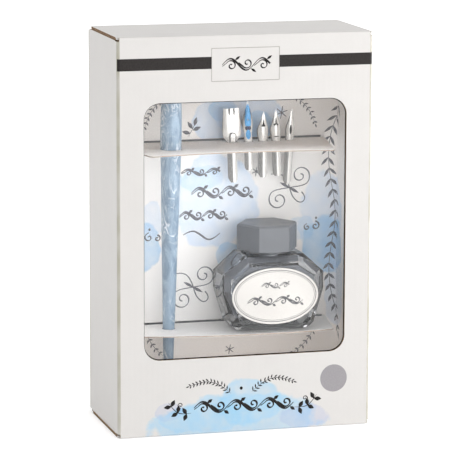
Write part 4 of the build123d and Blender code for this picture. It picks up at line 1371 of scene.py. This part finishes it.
# %% [markdown]
# ## Painted shade in the nibs' openings
# The vents and slits of the nibs are closed by dark discs and strips that lie inside the thickness of the
# steel and paint the shade an opening shows. Without them the bright card behind would shine through, and an
# opening would hardly show.

# %% Painted shade in the nibs' openings
shade_depth = 0.33 * mm  # behind the nib's front, inside its steel
eighth_turn = Matrix.Rotation(math.radians(45), 3, "Z")


def opening_shade(nib, body, gaps):
    """Dark discs of painted shade over a nib's openings, given as (aside, above the shelf, half width, half
    height, corners).
    """
    x, lean, up = nib_lines[nib]
    shade_discs = bmesh.new()
    for aside, above, wide, high, corners in gaps:
        disc = bmesh.ops.create_circle(shade_discs, cap_ends=True, segments=corners, radius=1.0)["verts"]
        if corners == 4:
            bmesh.ops.rotate(shade_discs, verts=disc, cent=(0, 0, 0), matrix=eighth_turn)
            bmesh.ops.scale(shade_discs, verts=disc, vec=(math.sqrt(2), math.sqrt(2), 1))
        bmesh.ops.scale(shade_discs, verts=disc, vec=(wide * mm, high * mm, 1))
        bmesh.ops.translate(shade_discs, verts=disc, vec=(aside * mm, above * mm, 0))
    bmesh.ops.solidify(shade_discs, geom=shade_discs.faces[:], thickness=ink_height)
    leaning = Matrix.Rotation(math.radians(lean), 3, "Y") @ upright
    bmesh.ops.rotate(shade_discs, verts=shade_discs.verts[:], cent=(0, 0, 0), matrix=leaning)
    nib_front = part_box(nib)[0].y
    bmesh.ops.translate(shade_discs, verts=shade_discs.verts[:], vec=(x * mm, nib_front + shade_depth, upper_shelf_top))
    finish_piece(nib + "_opening_shade", shade_discs, dark_ink, body)


# dark discs of painted shade in the openings, so the card behind does not show through
opening_shade("scroll_nib", "nib_one", [(side * 1.3, 16.45, 0.32, 1.28, 4) for side in (-1, 1)])
opening_shade("vented_nib", "nib_three", [(0, 8.6, 1.35, 1.4, 24)])
opening_shade("trefoil_nib", "nib_four", [(0, 9.0, 1.42, 1.5, 24)])
opening_shade("slotted_nib", "nib_five", [(0, 5.4, 0.6, 2.2, 24)])

# %% [markdown]
# ## Bottle label
# The oval label carries two thin rings, a small vine above and a larger one below. They are printed on
# its front face and ride on the bottle.

# %% Label print
label_x = (label_low.x + label_high.x) / 2 / mm
label_z = (label_low.z + label_high.z) / 2 / mm
label_strokes = []
for half_wide, half_high, width in ((22.0, 13.6, 0.35), (21.2, 12.8, 0.2)):
    around = [math.radians(a) for a in range(0, 361, 10)]
    ring = [(label_x + half_wide * math.cos(a), label_z + half_high * math.sin(a)) for a in around]
    label_strokes.append(stroke(ring, width, ends=1.0))
label_strokes += vine(label_x - 15.0, label_z - 2.6, 30.0, 6.0, 4, 0.3, 1.0)
label_strokes += vine(label_x - 7.5, label_z + 5.6, 15.0, 4.2, 3, 0.25, 0.6)
printed("label_print", label_strokes, label_low.y, label_ink, "bottle")

# %% [markdown]
# ## Neck thread
# The cap turns on a ridge wound round the glass neck, one and a half turns at the pitch of the cap's
# joint. A Screw modifier would do as well. Here a small triangle is spun about the neck's axis while it
# climbs, which leaves both ends closed.

# %% Neck thread
neck_radius, ridge, ridge_height, sunk = 12.0 * mm, 0.55 * mm, 1.2 * mm, 0.1 * mm
pitch, turns, steps = 3.0 * mm, 1.5, 108
thread_foot = 91.6 * mm
neck_x = (bottle_low.x + bottle_high.x) / 2
thread = bmesh.new()
profile = [thread.verts.new((neck_x + neck_radius - sunk, 0, thread_foot)),
           thread.verts.new((neck_x + neck_radius + ridge, 0, thread_foot + ridge_height / 2)),
           thread.verts.new((neck_x + neck_radius - sunk, 0, thread_foot + ridge_height))]
start = thread.faces.new(profile)
bmesh.ops.spin(thread, geom=[start, *start.edges, *start.verts], cent=(neck_x, 0, 0), axis=(0, 0, 1),
               dvec=(0, 0, pitch * turns / steps), angle=2 * math.pi * turns, steps=steps)
print("thread rises", round((max(v.co.z for v in thread.verts) - thread_foot) / mm, 2), "mm")
finish_piece("neck_thread", thread, glass, "bottle")
